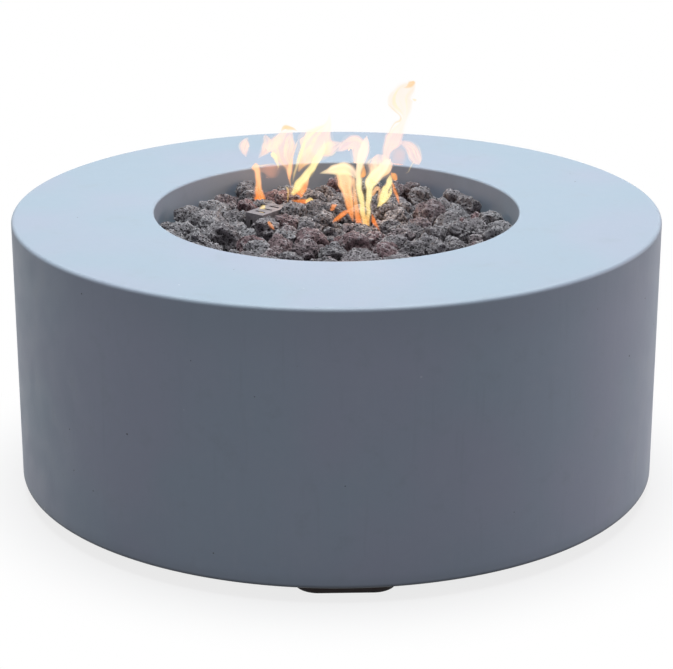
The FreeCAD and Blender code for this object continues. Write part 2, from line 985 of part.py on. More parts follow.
def valve_body():
    port_centre = on_valve(port_plane)
    barrel = rod(valve_radius, valve_length, on_valve(valve_end), along_y)
    inlet = rod(inlet_boss_radius, inlet_boss_reach, port_centre, -along_z)
    outlet = rod(outlet_boss_radius, outlet_boss_reach, port_centre)
    body = fused([barrel, inlet, outlet, valve_lugs(bonnet_back, valve_lug_thickness)])
    seat_length = plug_length + 2 * slip
    plug_seat = Part.makeCone(
        plug_front_radius, plug_back_radius, seat_length, on_valve(bonnet_back), -along_y
    )
    bores = [
        plug_seat,
        rod(magnet_radius + slip, magnet_seat, on_valve(valve_end), along_y),
        rod(supply_radius + slip, supply_seat, port_centre - along_z * inlet_boss_reach),
        rod(tube_radius + slip, tube_seat, port_centre + along_z * (outlet_boss_reach - tube_seat)),
    ]
    for x in valve_screw_places():
        seat = Vector(x, bonnet_back, control_height)
        depth = valve_screw_length - panel_thickness - bonnet_thickness
        bores.append(rod(valve_screw_radius + slip, depth, seat, -along_y))
    return cut_all(body, bores)


def valve_bonnet():
    plate = valve_lugs(panel_back, bonnet_thickness)
    holes = [rod(stem_radius + running, bonnet_thickness, on_valve(bonnet_back), along_y)]
    for x in valve_screw_places():
        seat = Vector(x, bonnet_back, control_height)
        holes.append(rod(valve_screw_radius + screw_slip, bonnet_thickness, seat, along_y))
    return cut_all(plate, holes)


def valve_screws():
    return Part.makeCompound([
        pan_screw(
            valve_screw_radius, valve_screw_length, valve_screw_head_radius,
            valve_screw_head_height, Vector(x, panel_face, control_height), -along_y,
        )
        for x in valve_screw_places()
    ])


def flatted_rod(radius, flat, start, end):
    # Bar along the valve's axis with one flat on its upper side.
    bar = rod(radius, end - start, on_valve(start), along_y)
    above = Part.makeBox(
        2 * radius, end - start, radius, Vector(knob_x - radius, start, control_height + flat)
    )
    return bar.cut(above)


def valve_plug():
    # Tapered plug that turns in the body. The stem slides in its flatted bore and turns it.
    front = bonnet_back - slip
    plug = Part.makeCone(
        plug_front_radius - running, plug_back_radius - running, plug_length,
        on_valve(front), -along_y,
    )
    bore = flatted_rod(stem_radius + running, stem_flat + running, front - stem_bore_depth, front)
    gas_way = rod(plug_port_radius, 2 * plug_front_radius, on_valve(port_plane), -along_x)
    return plug.cut(bore).cut(gas_way)


def valve_stem():
    return flatted_rod(
        stem_radius, stem_flat, bonnet_back - slip - stem_in_plug, knob_front - 2 * knob_wall
    )


def stem_spring():
    # Holds the stem out, between the bottom of the plug's bore and the stem's end.
    bottom = bonnet_back - slip - stem_bore_depth
    length = stem_bore_depth - stem_in_plug - 2 * slip
    start = on_valve(bottom + slip)
    return spring(
        "stem_spring", stem_spring_wire, stem_spring_radius, length, stem_spring_turns, start, along_y
    )


def pointer_place():
    return Vector(
        knob_x - pointer_width / 2, knob_front - pointer_depth,
        control_height + knob_body_radius - pointer_inset - pointer_length,
    )


def control_knob():
    back = knob_back
    body_front = back + knob_body_height
    hollow_front = body_front - knob_wall
    hollow = knob_body_radius - knob_wall
    skirt_hollow = knob_skirt_radius - knob_wall
    skirt_top = back + knob_skirt_height
    cup = turned([
        (0, back, 0),
        (knob_boss_radius, back, 0),
        (knob_boss_radius, hollow_front, 0),
        (hollow, hollow_front, 0),
        (hollow, skirt_top - knob_wall / 2, 0),
        (skirt_hollow, skirt_top - knob_wall / 2, 0),
        (skirt_hollow, back, 0),
        (knob_skirt_radius, back, 0),
        (knob_skirt_radius, skirt_top, knob_bar_round),
        (knob_body_radius, skirt_top, knob_bar_round),
        (knob_body_radius - knob_draft, body_front, knob_bar_round),
        (0, body_front, 0),
    ], valve_centre, along_y)
    bar_length = 2 * (knob_body_radius - knob_draft)
    bar_corners = rounded_rectangle(knob_bar_width, bar_length, knob_bar_width / 2 - knob_bar_flat)
    bar_depth = knob_bar_height + knob_wall
    bar = prism(bar_corners, on_wall(hollow_front, knob_x, control_height), along_y * bar_depth)
    front = knob_front
    rim = [edge for edge in bar.Edges if edge.BoundBox.YMin > front - slip]
    bar = bar.makeFillet(knob_bar_round, rim)
    body = fused([cup, bar])
    bore = flatted_rod(stem_radius + slip, stem_flat + slip, back, front - 2 * knob_wall)
    groove = Part.makeBox(pointer_width, pointer_depth, pointer_length, pointer_place())
    return body.cut(bore).cut(groove)


def knob_pointer():
    return Part.makeBox(
        pointer_width - slip, pointer_depth, pointer_length - slip,
        pointer_place() + Vector(slip / 2, 0, slip / 2),
    )


def safety_magnet():
    # Magnet unit that holds the gas open while the thermocouple is hot.
    seat = on_valve(valve_end + magnet_seat)
    body = rod(magnet_radius, magnet_length, seat, -along_y)
    cap = hexagon(magnet_flats, magnet_hex_length, seat - along_y * magnet_length, -along_y)
    return fused([body, cap])


def thermocouple_nut():
    base = on_valve(magnet_end)
    return hexagon(thermocouple_nut_flats, thermocouple_nut_length, base, -along_y, lead_radius + slip)


# Gas inlet


def inlet_screw_places():
    middle = inlet_x + inlet_screw_shift
    return [middle - inlet_screw_spacing / 2, middle + inlet_screw_spacing / 2]


def inlet_screw_height():
    return control_height - niche_height / 2 - niche_wall / 2


def inlet_bracket():
    # Plate bent to an angle, with its upright behind the niche and its shelf under the valve.
    bottom = inlet_plate_bottom
    top = control_height - niche_height / 2
    shelf_end = port_plane - inlet_flats

    def place(y, z):
        return Vector(inlet_x - inlet_plate_width / 2, y, z)

    body = prism([
        (shelf_end, bottom, 0),
        (flange_back, bottom, inlet_bend + inlet_plate),
        (flange_back, top, 0),
        (flange_back - inlet_plate, top, 0),
        (flange_back - inlet_plate, bottom + inlet_plate, inlet_bend),
        (shelf_end, bottom + inlet_plate, 0),
    ], place, along_x * inlet_plate_width)
    holes = [rod(flare_radius + screw_slip, inlet_plate, Vector(inlet_x, port_plane, bottom))]
    for x in inlet_screw_places():
        seat = Vector(x, flange_back, inlet_screw_height())
        holes.append(rod(inlet_screw_radius + screw_slip, inlet_plate, seat, -along_y))
    return cut_all(body, holes)


def inlet_bracket_screws():
    return Part.makeCompound([
        pan_screw(
            inlet_screw_radius - slip, inlet_screw_length, inlet_screw_head_radius,
            inlet_screw_head_height, Vector(x, flange_back - inlet_plate, inlet_screw_height()), along_y,
        )
        for x in inlet_screw_places()
    ])


def gas_inlet():
    # Bulkhead fitting. The supply hose screws on to its lower end.
    bottom = inlet_plate_bottom
    hex_bottom = bottom - inlet_hex_height
    end = hex_bottom - flare_length
    centre = Vector(inlet_x, port_plane, 0)
    threaded = turned([
        (0, end, 0),
        (flare_radius - flare_chamfer, end, 0),
        (flare_radius, end + flare_chamfer, 0),
        (flare_radius, bottom + inlet_top, 0),
        (0, bottom + inlet_top, 0),
    ], centre)
    body = fused([threaded, hexagon(inlet_flats, inlet_hex_height, centre + along_z * hex_bottom)])
    bore = rod(flare_radius / 2, flare_length, centre + along_z * end)
    seat = rod(supply_radius + slip, supply_seat, centre + along_z * (bottom + inlet_top - supply_seat))
    return body.cut(bore).cut(seat)


def inlet_locknut():
    base = Vector(inlet_x, port_plane, inlet_plate_bottom + inlet_plate)
    return hexagon(inlet_nut_flats, inlet_nut_height, base, along_z, flare_radius + slip)


def supply_tube():
    top = control_height - inlet_boss_reach + supply_seat
    low = inlet_plate_bottom + inlet_top - supply_seat
    level = (control_height - inlet_boss_reach + inlet_plate_bottom + inlet_top) / 2
    points = [
        Vector(knob_x, port_plane, top),
        Vector(knob_x, port_plane, level),
        Vector(inlet_x, port_plane, level),
        Vector(inlet_x, port_plane, low),
    ]
    return tube_along("supply_tube", points, supply_radius, supply_bend)


# Battery igniter


def igniter_body():
    flange_front = panel_face + igniter_flange_thickness
    bore = battery_radius + battery_gap
    return turned([
        (0, igniter_back, 0),
        (igniter_radius, igniter_back, igniter_end_round),
        (igniter_radius, panel_face, 0),
        (igniter_flange_radius, panel_face, 0),
        (igniter_flange_radius, flange_front, 0),
        (igniter_nose_radius, flange_front, 0),
        (igniter_nose_radius, nose_end, 0),
        (bore, nose_end, 0),
        (bore, igniter_back + igniter_end_wall, 0),
        (0, igniter_back + igniter_end_wall, 0),
    ], igniter_centre, along_y)


def igniter_nut():
    base = on_igniter(panel_back)
    return hexagon(igniter_nut_flats, igniter_nut_thickness, base, -along_y, igniter_radius + slip)


def battery():
    front = battery_front - battery_button_height
    return turned([
        (0, battery_back, 0),
        (battery_radius, battery_back, battery_edge_round),
        (battery_radius, front, battery_edge_round),
        (battery_button_radius, front, 0),
        (battery_button_radius, battery_front, 0),
        (0, battery_front, 0),
    ], igniter_centre, along_y)


def igniter_cap():
    inner = igniter_nose_radius + slip
    cavity = cap_end - cap_front
    return turned([
        (inner, cap_start, 0),
        (cap_radius, cap_start, 0),
        (cap_radius, cap_end, cap_round),
        (button_radius + slip, cap_end, 0),
        (button_radius + slip, cavity, 0),
        (inner, cavity, 0),
    ], igniter_centre, along_y)


def igniter_button():
    shoulder = button_back + button_collar
    front = cap_end + button_travel + button_proud
    return turned([
        (0, button_back, 0),
        (button_collar_radius, button_back, 0),
        (button_collar_radius, shoulder, 0),
        (button_radius, shoulder, 0),
        (button_radius, front, cap_round / 2),
        (0, front, 0),
    ], igniter_centre, along_y)


def contact_spring():
    # Pushes the button out and carries the current to the battery.
    length = button_back - battery_front - 2 * slip
    start = on_igniter(battery_front + slip)
    return spring(
        "contact_spring", contact_spring_wire, contact_spring_radius,
        length, contact_spring_turns, start, along_y,
    )


def igniter_terminal():
    return Part.makeBox(
        terminal_width, terminal_length, terminal_thickness,
        Vector(
            igniter_x - terminal_width / 2, igniter_back - terminal_length,
            control_height - terminal_thickness / 2,
        ),
    )


def terminal_boot():
    # Soft cover pushed on to the spade, open in front for the spade and behind for the wire.
    front = igniter_back - slip
    boot = rod(terminal_boot_radius, terminal_boot_length, on_igniter(front), -along_y)
    back = front - terminal_boot_length
    slot = Part.makeBox(
        terminal_width + 2 * slip, terminal_length, terminal_thickness + 2 * slip,
        Vector(
            igniter_x - terminal_width / 2 - slip, igniter_back - terminal_length - slip,
            control_height - terminal_thickness / 2 - slip,
        ),
    )
    wire_seat = rod(wire_radius + slip, wire_seat_depth(), on_igniter(back), along_y)
    return boot.cut(slot).cut(wire_seat)


def wire_seat_depth():
    return (terminal_boot_length - terminal_length) / 2


# Ignition set


def bracket_screw_line():
    return -ignition_forward - bracket_foot / 2


def ignition_bracket():
    foot_end = -ignition_forward - bracket_foot
    riser = -ignition_forward + bracket_sheet
    shelf_end = riser - bracket_sheet + bracket_shelf
    top = bracket_rise + bracket_sheet

    def place(y, z):
        return Vector(-bracket_width / 2, y, z)

    body = prism([
        (foot_end, 0, 0),
        (riser, 0, 0),
        (riser, bracket_rise, 0),
        (shelf_end, bracket_rise, 0),
        (shelf_end, top, 0),
        (riser - bracket_sheet, top, bracket_sheet),
        (riser - bracket_sheet, bracket_sheet, 0),
        (foot_end, bracket_sheet, 0),
    ], place, along_x * bracket_width)
    holes = []
    for side, radius in ((1, insulator_radius + slip), (-1, probe_radius + slip)):
        centre = Vector(side * ignition_spacing / 2, ignition_forward, bracket_rise)
        holes.append(rod(radius, bracket_sheet, centre))
    for side in (-1, 1):
        centre = Vector(side * bracket_screw_spacing / 2, bracket_screw_line(), 0)
        holes.append(rod(bracket_screw_radius + slip, bracket_sheet, centre))
    return at_ignition(cut_all(body, holes))


def ignition_bracket_screws():
    screws = []
    for side in (-1, 1):
        seat = Vector(side * bracket_screw_spacing / 2, bracket_screw_line(), bracket_sheet)
        screws.append(pan_screw(
            bracket_screw_radius, bracket_screw_length, bracket_screw_head_radius,
            bracket_screw_head_height, seat, -along_z,
        ))
    return at_ignition(Part.makeCompound(screws))


def electrode_insulator():
    shelf_top = bracket_rise + bracket_sheet
    centre = Vector(ignition_spacing / 2, ignition_forward, 0)
    body = turned([
        (0, -insulator_below, 0),
        (insulator_radius, -insulator_below, 0),
        (insulator_radius, shelf_top, 0),
        (collar_radius, shelf_top, 0),
        (collar_radius, shelf_top + collar_height, 0),
        (insulator_radius, shelf_top + collar_height, 0),
        (insulator_radius, insulator_above, insulator_round),
        (0, insulator_above, 0),
    ], centre)
    return at_ignition(body)


def electrode():
    # Spark wire that stands on the insulator and leans towards the burner ring.
    start = Vector(ignition_spacing / 2, ignition_forward, insulator_above)
    points = [
        start,
        start + along_z * electrode_rise,
        start + Vector(0, electrode_lean, electrode_rise + electrode_lean / 4),
    ]
    return at_ignition(tube_along("electrode", points, electrode_radius, electrode_radius * 2))


def thermocouple():
    shelf_top = bracket_rise + bracket_sheet
    collar = (collar_radius + probe_radius) / 2
    centre = Vector(-ignition_spacing / 2, ignition_forward, 0)
    body = turned([
        (0, -probe_below, 0),
        (probe_radius, -probe_below, 0),
        (probe_radius, shelf_top, 0),
        (collar, shelf_top, 0),
        (collar, shelf_top + collar_height, 0),
        (probe_radius, shelf_top + collar_height, 0),
        (probe_radius, probe_above - probe_tip_length, 0),
        (probe_tip_radius, probe_above, 0),
        (0, probe_above, 0),
    ], centre)
    return at_ignition(body)


def ignition_cage():
    # Folded hood with slots in its walls and lid, held by two tabs through the pan.
    outer = Part.makeBox(cage_width, cage_depth, cage_height, Vector(-cage_width / 2, -cage_depth / 2, 0))
    inner = Part.makeBox(
        cage_width - 2 * cage_sheet, cage_depth - 2 * cage_sheet, cage_height - cage_sheet,
        Vector(cage_sheet - cage_width / 2, cage_sheet - cage_depth / 2, 0),
    )
    hood = outer.cut(inner)
    tabs = []
    for side in (-1, 1):
        middle = side * (cage_width - cage_sheet) / 2
        tabs.append(Part.makeBox(
            cage_sheet, cage_tab_width, cage_tab_length + cage_sheet,
            Vector(middle - cage_sheet / 2, -cage_tab_width / 2, -cage_tab_length),
        ))
    hood = fused([hood] + tabs)
    slots = []
    slot_height = cage_slot_high - cage_slot_low
    for step in range(cage_side_slots):
        x = (step - (cage_side_slots - 1) / 2) * cage_slot_pitch
        corner = Vector(x - cage_slot_width / 2, -cage_depth, cage_slot_low)
        slots.append(Part.makeBox(cage_slot_width, 2 * cage_depth, slot_height, corner))
    for step in range(cage_top_slots):
        x = (step - (cage_top_slots - 1) / 2) * cage_top_pitch
        slots.append(Part.makeBox(
            cage_slot_width, cage_top_slot_length, 3 * cage_sheet,
            Vector(x - cage_slot_width / 2, -cage_top_slot_length / 2, cage_height - 2 * cage_sheet),
        ))
    for y in (-cage_slot_pitch / 2, cage_slot_pitch / 2):
        corner = Vector(-cage_width, y - cage_slot_width / 2, cage_slot_low)
        slots.append(Part.makeBox(2 * cage_width, cage_slot_width, slot_height, corner))
    return at_ignition(cut_all(hood, slots))


# Leads from the ignition set to the valve and the igniter


def thermocouple_lead():
    top = ignition_place(-ignition_spacing / 2, ignition_forward, -probe_below)
    points = [
        top,
        top - along_z * 24,
        Vector(-92, 128, 238),
        on_valve(lead_start - 132) + Vector(-34, 0, 32),
        on_valve(lead_start - 80) + Vector(-14, 0, 12),
        on_valve(lead_start - lead_run),
        on_valve(lead_start + thermocouple_nut_length),
    ]
    return tube_along("thermocouple_lead", points, lead_radius)


def electrode_boot():
    top = ignition_place(ignition_spacing / 2, ignition_forward, -insulator_below + boot_overlap)
    base = top - along_z * boot_length
    boot = rod(boot_radius, boot_length, base)
    grip = rod(insulator_radius + slip, boot_overlap, top - along_z * boot_overlap)
    wire_seat = rod(wire_radius + slip, boot_length / 4, base)
    return boot.cut(grip).cut(wire_seat)


def ignition_wire():
    top = ignition_place(ignition_spacing / 2, ignition_forward, boot_overlap - insulator_below)
    start = top - along_z * (boot_length * 3 / 4)
    end = igniter_back - slip - terminal_boot_length + wire_seat_depth()
    points = [
        start,
        start - along_z * 22,
        Vector(-62, 126, 222),
        Vector(-34, 168, 212),
        on_igniter(end - 122) + Vector(-42, 0, 14),
        on_igniter(end - 84) + Vector(-14, 0, 5),
        on_igniter(end - lead_run),
        on_igniter(end),
    ]
    return tube_along("ignition_wire", points, wire_radius)


# Lava rock, as convex stones that lie against each other


def clipped(faces, normal, limit):
    # The part of a convex body with normal . point <= limit, as a list of its faces.
    kept = []
    rim = []
    for face in faces:
        points = []
        for here, after in zip(face, face[1:] + face[:1]):
            near = normal.dot(here) - limit
            far = normal.dot(after) - limit
            if near <= 0:
                points.append(here)
            if (near < 0 < far) or (far < 0 < near):
                crossing = here + (after - here) * (near / (near - far))
                points.append(crossing)
                rim.append(crossing)
        if len(points) > 2:
            kept.append(points)
    if not rim:
        return faces if kept else []
    cap = ordered(distinct(rim), normal)
    return kept + [cap] if len(cap) > 2 else kept


def distinct(points):
    found = []
    for point in points:
        if all((point - other).Length > 1e-4 for other in found):
            found.append(point)
    return found


def ordered(points, normal):
    # Points of a convex face, in order round its middle.
    middle = Vector(0, 0, 0)
    for point in points:
        middle += point * (1.0 / len(points))
    side = normal.cross(along_z if abs(normal.z) < 0.9 else along_x).normalize()
    third = normal.cross(side)
    return sorted(points, key=lambda p: math.atan2((p - middle).dot(third), (p - middle).dot(side)))


def cube_faces(centre, half):
    box = Part.makeBox(2 * half, 2 * half, 2 * half, centre - Vector(half, half, half))
    return [[vertex.Point for vertex in face.OuterWire.OrderedVertexes] for face in box.Faces]


def solid_of(faces):
    shapes = []
    for points in faces:
        corners = distinct(points)
        if len(corners) > 2:
            shapes.append(Part.Face(Part.makePolygon(corners + corners[:1])))
    shell = Part.makeShell(shapes)
    shell.sewShape()
    solid = Part.makeSolid(shell)
    if solid.Volume < 0:
        solid.reverse()
    return solid


def rock_limits(centre, size):
    # Planes (direction, limit) that keep a stone off the pan, the walls and the burner.
    outwards = Vector(centre.x, centre.y, 0)
    distance = outwards.Length
    outwards = outwards.normalize() if distance > 1e-6 else along_x

    def inside(radius):
        half_width = size * rock_corner
        return math.sqrt(radius * radius - half_width * half_width) - rock_seat

    if centre.z > burner_top:
        over_flange = distance + size > dish_radius - pan_bend_round
        seat = ledge_top + pan_sheet if over_flange else burner_top
        return [(-along_z, -(seat + rock_seat)), (outwards, inside(opening_radius))]

    limits = [(-along_z, -(pan_floor + rock_seat)), (along_z, burner_top - rock_gap / 2)]
    if distance > ring_radius:
        limits.append((outwards, inside(dish_radius - pan_sheet)))
        limits.append((-outwards, -(ring_radius + ring_tube_radius + rock_seat)))
        bend = pan_bend_round - pan_sheet
        slant = (outwards - along_z).normalize()
        bend_centre = outwards * inside(dish_radius - pan_sheet - bend) + along_z * (pan_floor + bend)
        limits.append((slant, slant.dot(bend_centre) + bend - rock_seat))
        return limits
    limits.append((outwards, inside(ring_radius - ring_tube_radius)))
    limits.append((-outwards, -(inner_ring_radius + ring_tube_radius + rock_seat)))
    for axis, place in ((along_x, centre.x), (along_y, centre.y)):
        side = axis if place > 0 else -axis
        limits.append((-side, -(spoke_tube_radius + rock_seat)))
    return limits


def nearest_cage_wall(centre):
    # The wall of the wind cage that the point lies furthest outside: that distance, the wall's
    # outward direction, and the limit along it.
    turn = math.radians(ignition_angle)
    along = Vector(math.cos(turn), math.sin(turn), 0)
    outwards = Vector(-math.sin(turn), math.cos(turn), 0)
    middle = ignition_place(0, 0)
    walls = []
    for normal, half in ((along, cage_width / 2), (outwards, cage_depth / 2)):
        for face in (normal, -normal):
            limit = face.dot(middle) + half + rock_seat
            walls.append((face.dot(centre) - limit, face, limit))
    return max(walls, key=lambda wall_found: wall_found[0])


def resting_height(x, y, size, placed, floor):
    # Height of a stone let down at (x, y) until it meets a stone below it or the floor.
    height = floor + rock_spacing * size
    for other, radius in placed:
        reach = rock_spacing * (size + radius)
        beside = math.hypot(other.x - x, other.y - y)
        if beside < reach:
            height = max(height, other.z + math.sqrt(reach * reach - beside * beside))
    return height


def rock_places():
    # Stone centres and radii: a lower layer round the burner, then the bed over it.
    dice = random.Random(rock_seed)
    placed = []
    for floor, ceiling in ((pan_floor, burner_top + rock_largest / 2), (burner_top, deck_top - rock_crown)):
        layer = []
        for attempt in range(rock_tries):
            share = attempt / rock_tries
            largest = rock_largest + (rock_smallest - rock_largest) * share
            size = dice.uniform(rock_smallest, max(largest, rock_smallest))
            angle = dice.uniform(0, 2 * math.pi)
            reach = (opening_radius - size * rock_spacing) * math.sqrt(dice.random())
            x = reach * math.cos(angle)
            y = reach * math.sin(angle)
            height = resting_height(x, y, size, layer, floor)
            centre = Vector(x, y, height)
            if floor == pan_floor:
                centre.z = min(height, burner_top - 1)
            fits = height + rock_spacing * size < ceiling
            if fits and clear_of_burner(centre, size) and clear_of_rocks(centre, size, layer):
                layer.append((centre, size))
        placed += layer
    return placed


def clear_of_burner(centre, size):
    if nearest_cage_wall(centre)[0] < size * 0.45:
        return False
    if centre.z > burner_top:
        return True
    distance = math.hypot(centre.x, centre.y)
    room = size * 0.5
    outer_zone = ring_radius + ring_tube_radius + room < distance < dish_radius - room
    gap_start = inner_ring_radius + ring_tube_radius + room
    gap_end = ring_radius - ring_tube_radius - room
    inner_zone = gap_start < distance < gap_end
    off_spokes = min(abs(centre.x), abs(centre.y)) > spoke_tube_radius + room
    return outer_zone or (inner_zone and off_spokes)


def clear_of_rocks(centre, size, placed):
    nearest = rock_spacing - 0.001
    return all((centre - other).Length > nearest * (size + radius) for other, radius in placed)


def rock(index, placed, dice):
    centre, size = placed[index]
    faces = cube_faces(centre, size * rock_plane_high)
    for step in range(rock_faces):
        height = 1 - 2 * (step + 0.5) / rock_faces
        turn = step * 2.4 + dice.uniform(-0.5, 0.5)
        level = math.sqrt(1 - height * height)
        normal = Vector(level * math.cos(turn), level * math.sin(turn), height)
        reach = size * dice.uniform(rock_plane_low, rock_plane_high)
        faces = clipped(faces, normal, normal.dot(centre) + reach)
    for other, radius in placed[:index] + placed[index + 1:]:
        apart = other - centre
        distance = apart.Length
        if distance < 1.5 * (size + radius):
            normal = apart * (1 / distance)
            middle = distance * size / (size + radius)
            faces = clipped(faces, normal, normal.dot(centre) + middle - rock_gap / 2)
    for normal, limit in rock_limits(centre, size):
        faces = clipped(faces, normal, limit)
    _, cage_side, cage_edge = nearest_cage_wall(centre)
    return clipped(faces, -cage_side, -cage_edge)


def lava_rocks():
    placed = rock_places()
    dice = random.Random(rock_seed + 1)
    stones = []
    for index in range(len(placed)):
        faces = rock(index, placed, dice)
        if len(faces) < 4:
            continue
        stone = solid_of(faces)
        if stone.isValid() and stone.Volume > smallest_stone:
            stones.append(stone)
    print("stones", len(stones), "of", len(placed))
    return Part.makeCompound(stones)


def main():
    os.makedirs("parts", exist_ok=True)
    save("concrete_shell", concrete_shell())
    for name, pad in zip(foot_names, around(foot(), len(foot_names))):
        save(name, pad)
    save("foot_screws", foot_screws())
    save("foot_inserts", foot_inserts())
    save("control_panel", control_panel())
    save("panel_screws", panel_screws())
    save("burner_pan", burner_pan())
    save("burner", burner())
    save("burner_legs", burner_legs())
    save("burner_leg_screws", burner_leg_screws())
    save("burner_locknut", burner_locknut())
    save("burner_elbow", burner_elbow())
    save("air_mixer", air_mixer())
    save("air_shutter", air_shutter())
    save("gas_jet", gas_jet())
    save("burner_tube_nut", burner_tube_nut())
    save("burner_tube", burner_tube())
    save("valve_outlet_nut", valve_outlet_nut())
    save("valve_body", valve_body())
    save("valve_bonnet", valve_bonnet())
    save("valve_screws", valve_screws())
    save("valve_plug", valve_plug())
    save("valve_stem", valve_stem())
    save("stem_spring", stem_spring())
    save("control_knob", control_knob())
    save("knob_pointer", knob_pointer())
    save("safety_magnet", safety_magnet())
    save("thermocouple_nut", thermocouple_nut())
    save("thermocouple_lead", thermocouple_lead())
    save("thermocouple", thermocouple())
    save("inlet_bracket", inlet_bracket())
    save("inlet_bracket_screws", inlet_bracket_screws())
    save("gas_inlet", gas_inlet())
    save("inlet_locknut", inlet_locknut())
    save("supply_tube", supply_tube())
    save("igniter_body", igniter_body())
    save("igniter_nut", igniter_nut())
    save("battery", battery())
    save("igniter_cap", igniter_cap())
    save("igniter_button", igniter_button())
    save("contact_spring", contact_spring())
    save("igniter_terminal", igniter_terminal())
    save("terminal_boot", terminal_boot())
    save("ignition_wire", ignition_wire())
    save("electrode_boot", electrode_boot())
    save("electrode_insulator", electrode_insulator())
    save("electrode", electrode())
    save("ignition_bracket", ignition_bracket())
    save("ignition_bracket_screws", ignition_bracket_screws())
    save("ignition_cage", ignition_cage())
    save("lava_rocks", lava_rocks())


main()
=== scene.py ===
import math

import bmesh
import bpy
import numpy as np
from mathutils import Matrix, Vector


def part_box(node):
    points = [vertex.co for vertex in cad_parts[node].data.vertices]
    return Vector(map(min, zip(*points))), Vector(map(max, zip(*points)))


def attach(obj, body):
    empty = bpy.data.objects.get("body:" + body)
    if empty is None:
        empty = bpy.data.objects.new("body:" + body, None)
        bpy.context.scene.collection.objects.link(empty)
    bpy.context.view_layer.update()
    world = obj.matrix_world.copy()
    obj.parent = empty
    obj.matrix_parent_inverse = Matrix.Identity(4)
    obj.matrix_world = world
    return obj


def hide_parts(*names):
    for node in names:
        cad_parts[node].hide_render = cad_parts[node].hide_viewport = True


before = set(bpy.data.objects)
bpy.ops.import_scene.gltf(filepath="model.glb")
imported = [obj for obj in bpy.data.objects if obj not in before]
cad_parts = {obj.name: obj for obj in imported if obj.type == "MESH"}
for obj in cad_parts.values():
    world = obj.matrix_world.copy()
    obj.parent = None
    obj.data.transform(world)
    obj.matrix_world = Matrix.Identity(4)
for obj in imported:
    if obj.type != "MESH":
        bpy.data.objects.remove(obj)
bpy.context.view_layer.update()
scene = bpy.context.scene
print("frame loaded")


def placed(name, data, at=(0.0, 0.0, 0.0), aim=None):  # a new object, which looks along aim
    made = bpy.data.objects.new(name, data)
    made.location = at
    if aim is not None:
        made.rotation_mode = "QUATERNION"
        made.rotation_quaternion = aim.to_track_quat("-Z", "Y")
    scene.collection.objects.link(made)
    return made


def meshFrom(name, parts):  # one mesh from the (points, faces) of its parts
    points, faces = [], []
    for some, sides in parts:
        start = len(points)
        points += some.tolist()
        faces += [[start + corner for corner in side] for side in sides]
    mesh = bpy.data.meshes.new(name)
    mesh.from_pydata(points, [], faces)
    mesh.shade_smooth()
    return placed(name, mesh)


def shining(name, kind, at, power, colour, aim=None):  # a new lamp
    light = bpy.data.lights.new(name, kind)
    light.energy = power
    light.color = colour
    placed(name, light, at, aim)
    return light


# Camera: level and distance of the photograph, turned a little to the left of the front

view = {
    "aim": (0.0, 0.0, 0.195),
    "distance": 2.967,
    "elevation": 19.0,  # degrees above the horizon
    "azimuth": -1.7,  # degrees to the right of the front
    "lens": 116.1,
    "sensor": 36.0,
    "farthest": 100.0,
}


def placeCamera():
    up = math.radians(view["elevation"])
    turn = math.radians(view["azimuth"])
    back = Vector((math.sin(turn) * math.cos(up), -math.cos(turn) * math.cos(up), math.sin(up)))
    camera = bpy.data.cameras.new("camera")
    camera.lens = view["lens"]
    camera.sensor_width = view["sensor"]
    camera.clip_end = view["farthest"]
    at = Vector(view["aim"]) + back * view["distance"]
    scene.camera = placed("camera", camera, at, -back)


placeCamera()
print("camera placed")


# Shader tools


def sums(operation):  # with a signal on the left, and on the right
    return (
        lambda signal, other: signal.maths(operation, signal, other),
        lambda signal, other: signal.maths(operation, other, signal),
    )


class Signal:  # one output of a material's node
    def __init__(self, finish, socket):
        self.finish = finish
        self.socket = socket

    def maths(self, operation, first, second):
        return self.finish.node("ShaderNodeMath", {"operation": operation}, {0: first, 1: second})

    __add__, __radd__ = sums("ADD")
    __sub__, __rsub__ = sums("SUBTRACT")
    __mul__, __rmul__ = sums("MULTIPLY")
    __truediv__, __rtruediv__ = sums("DIVIDE")
    __pow__, __rpow__ = sums("POWER")

    def rise(self, low, high):  # 0 under low, 1 over high, smooth between them
        inputs = {"Value": self, "From Min": low, "From Max": high}
        return self.finish.node("ShaderNodeMapRange", {"interpolation_type": "SMOOTHSTEP"}, inputs)

    def eased(self):
        return self.rise(0.0, 1.0)


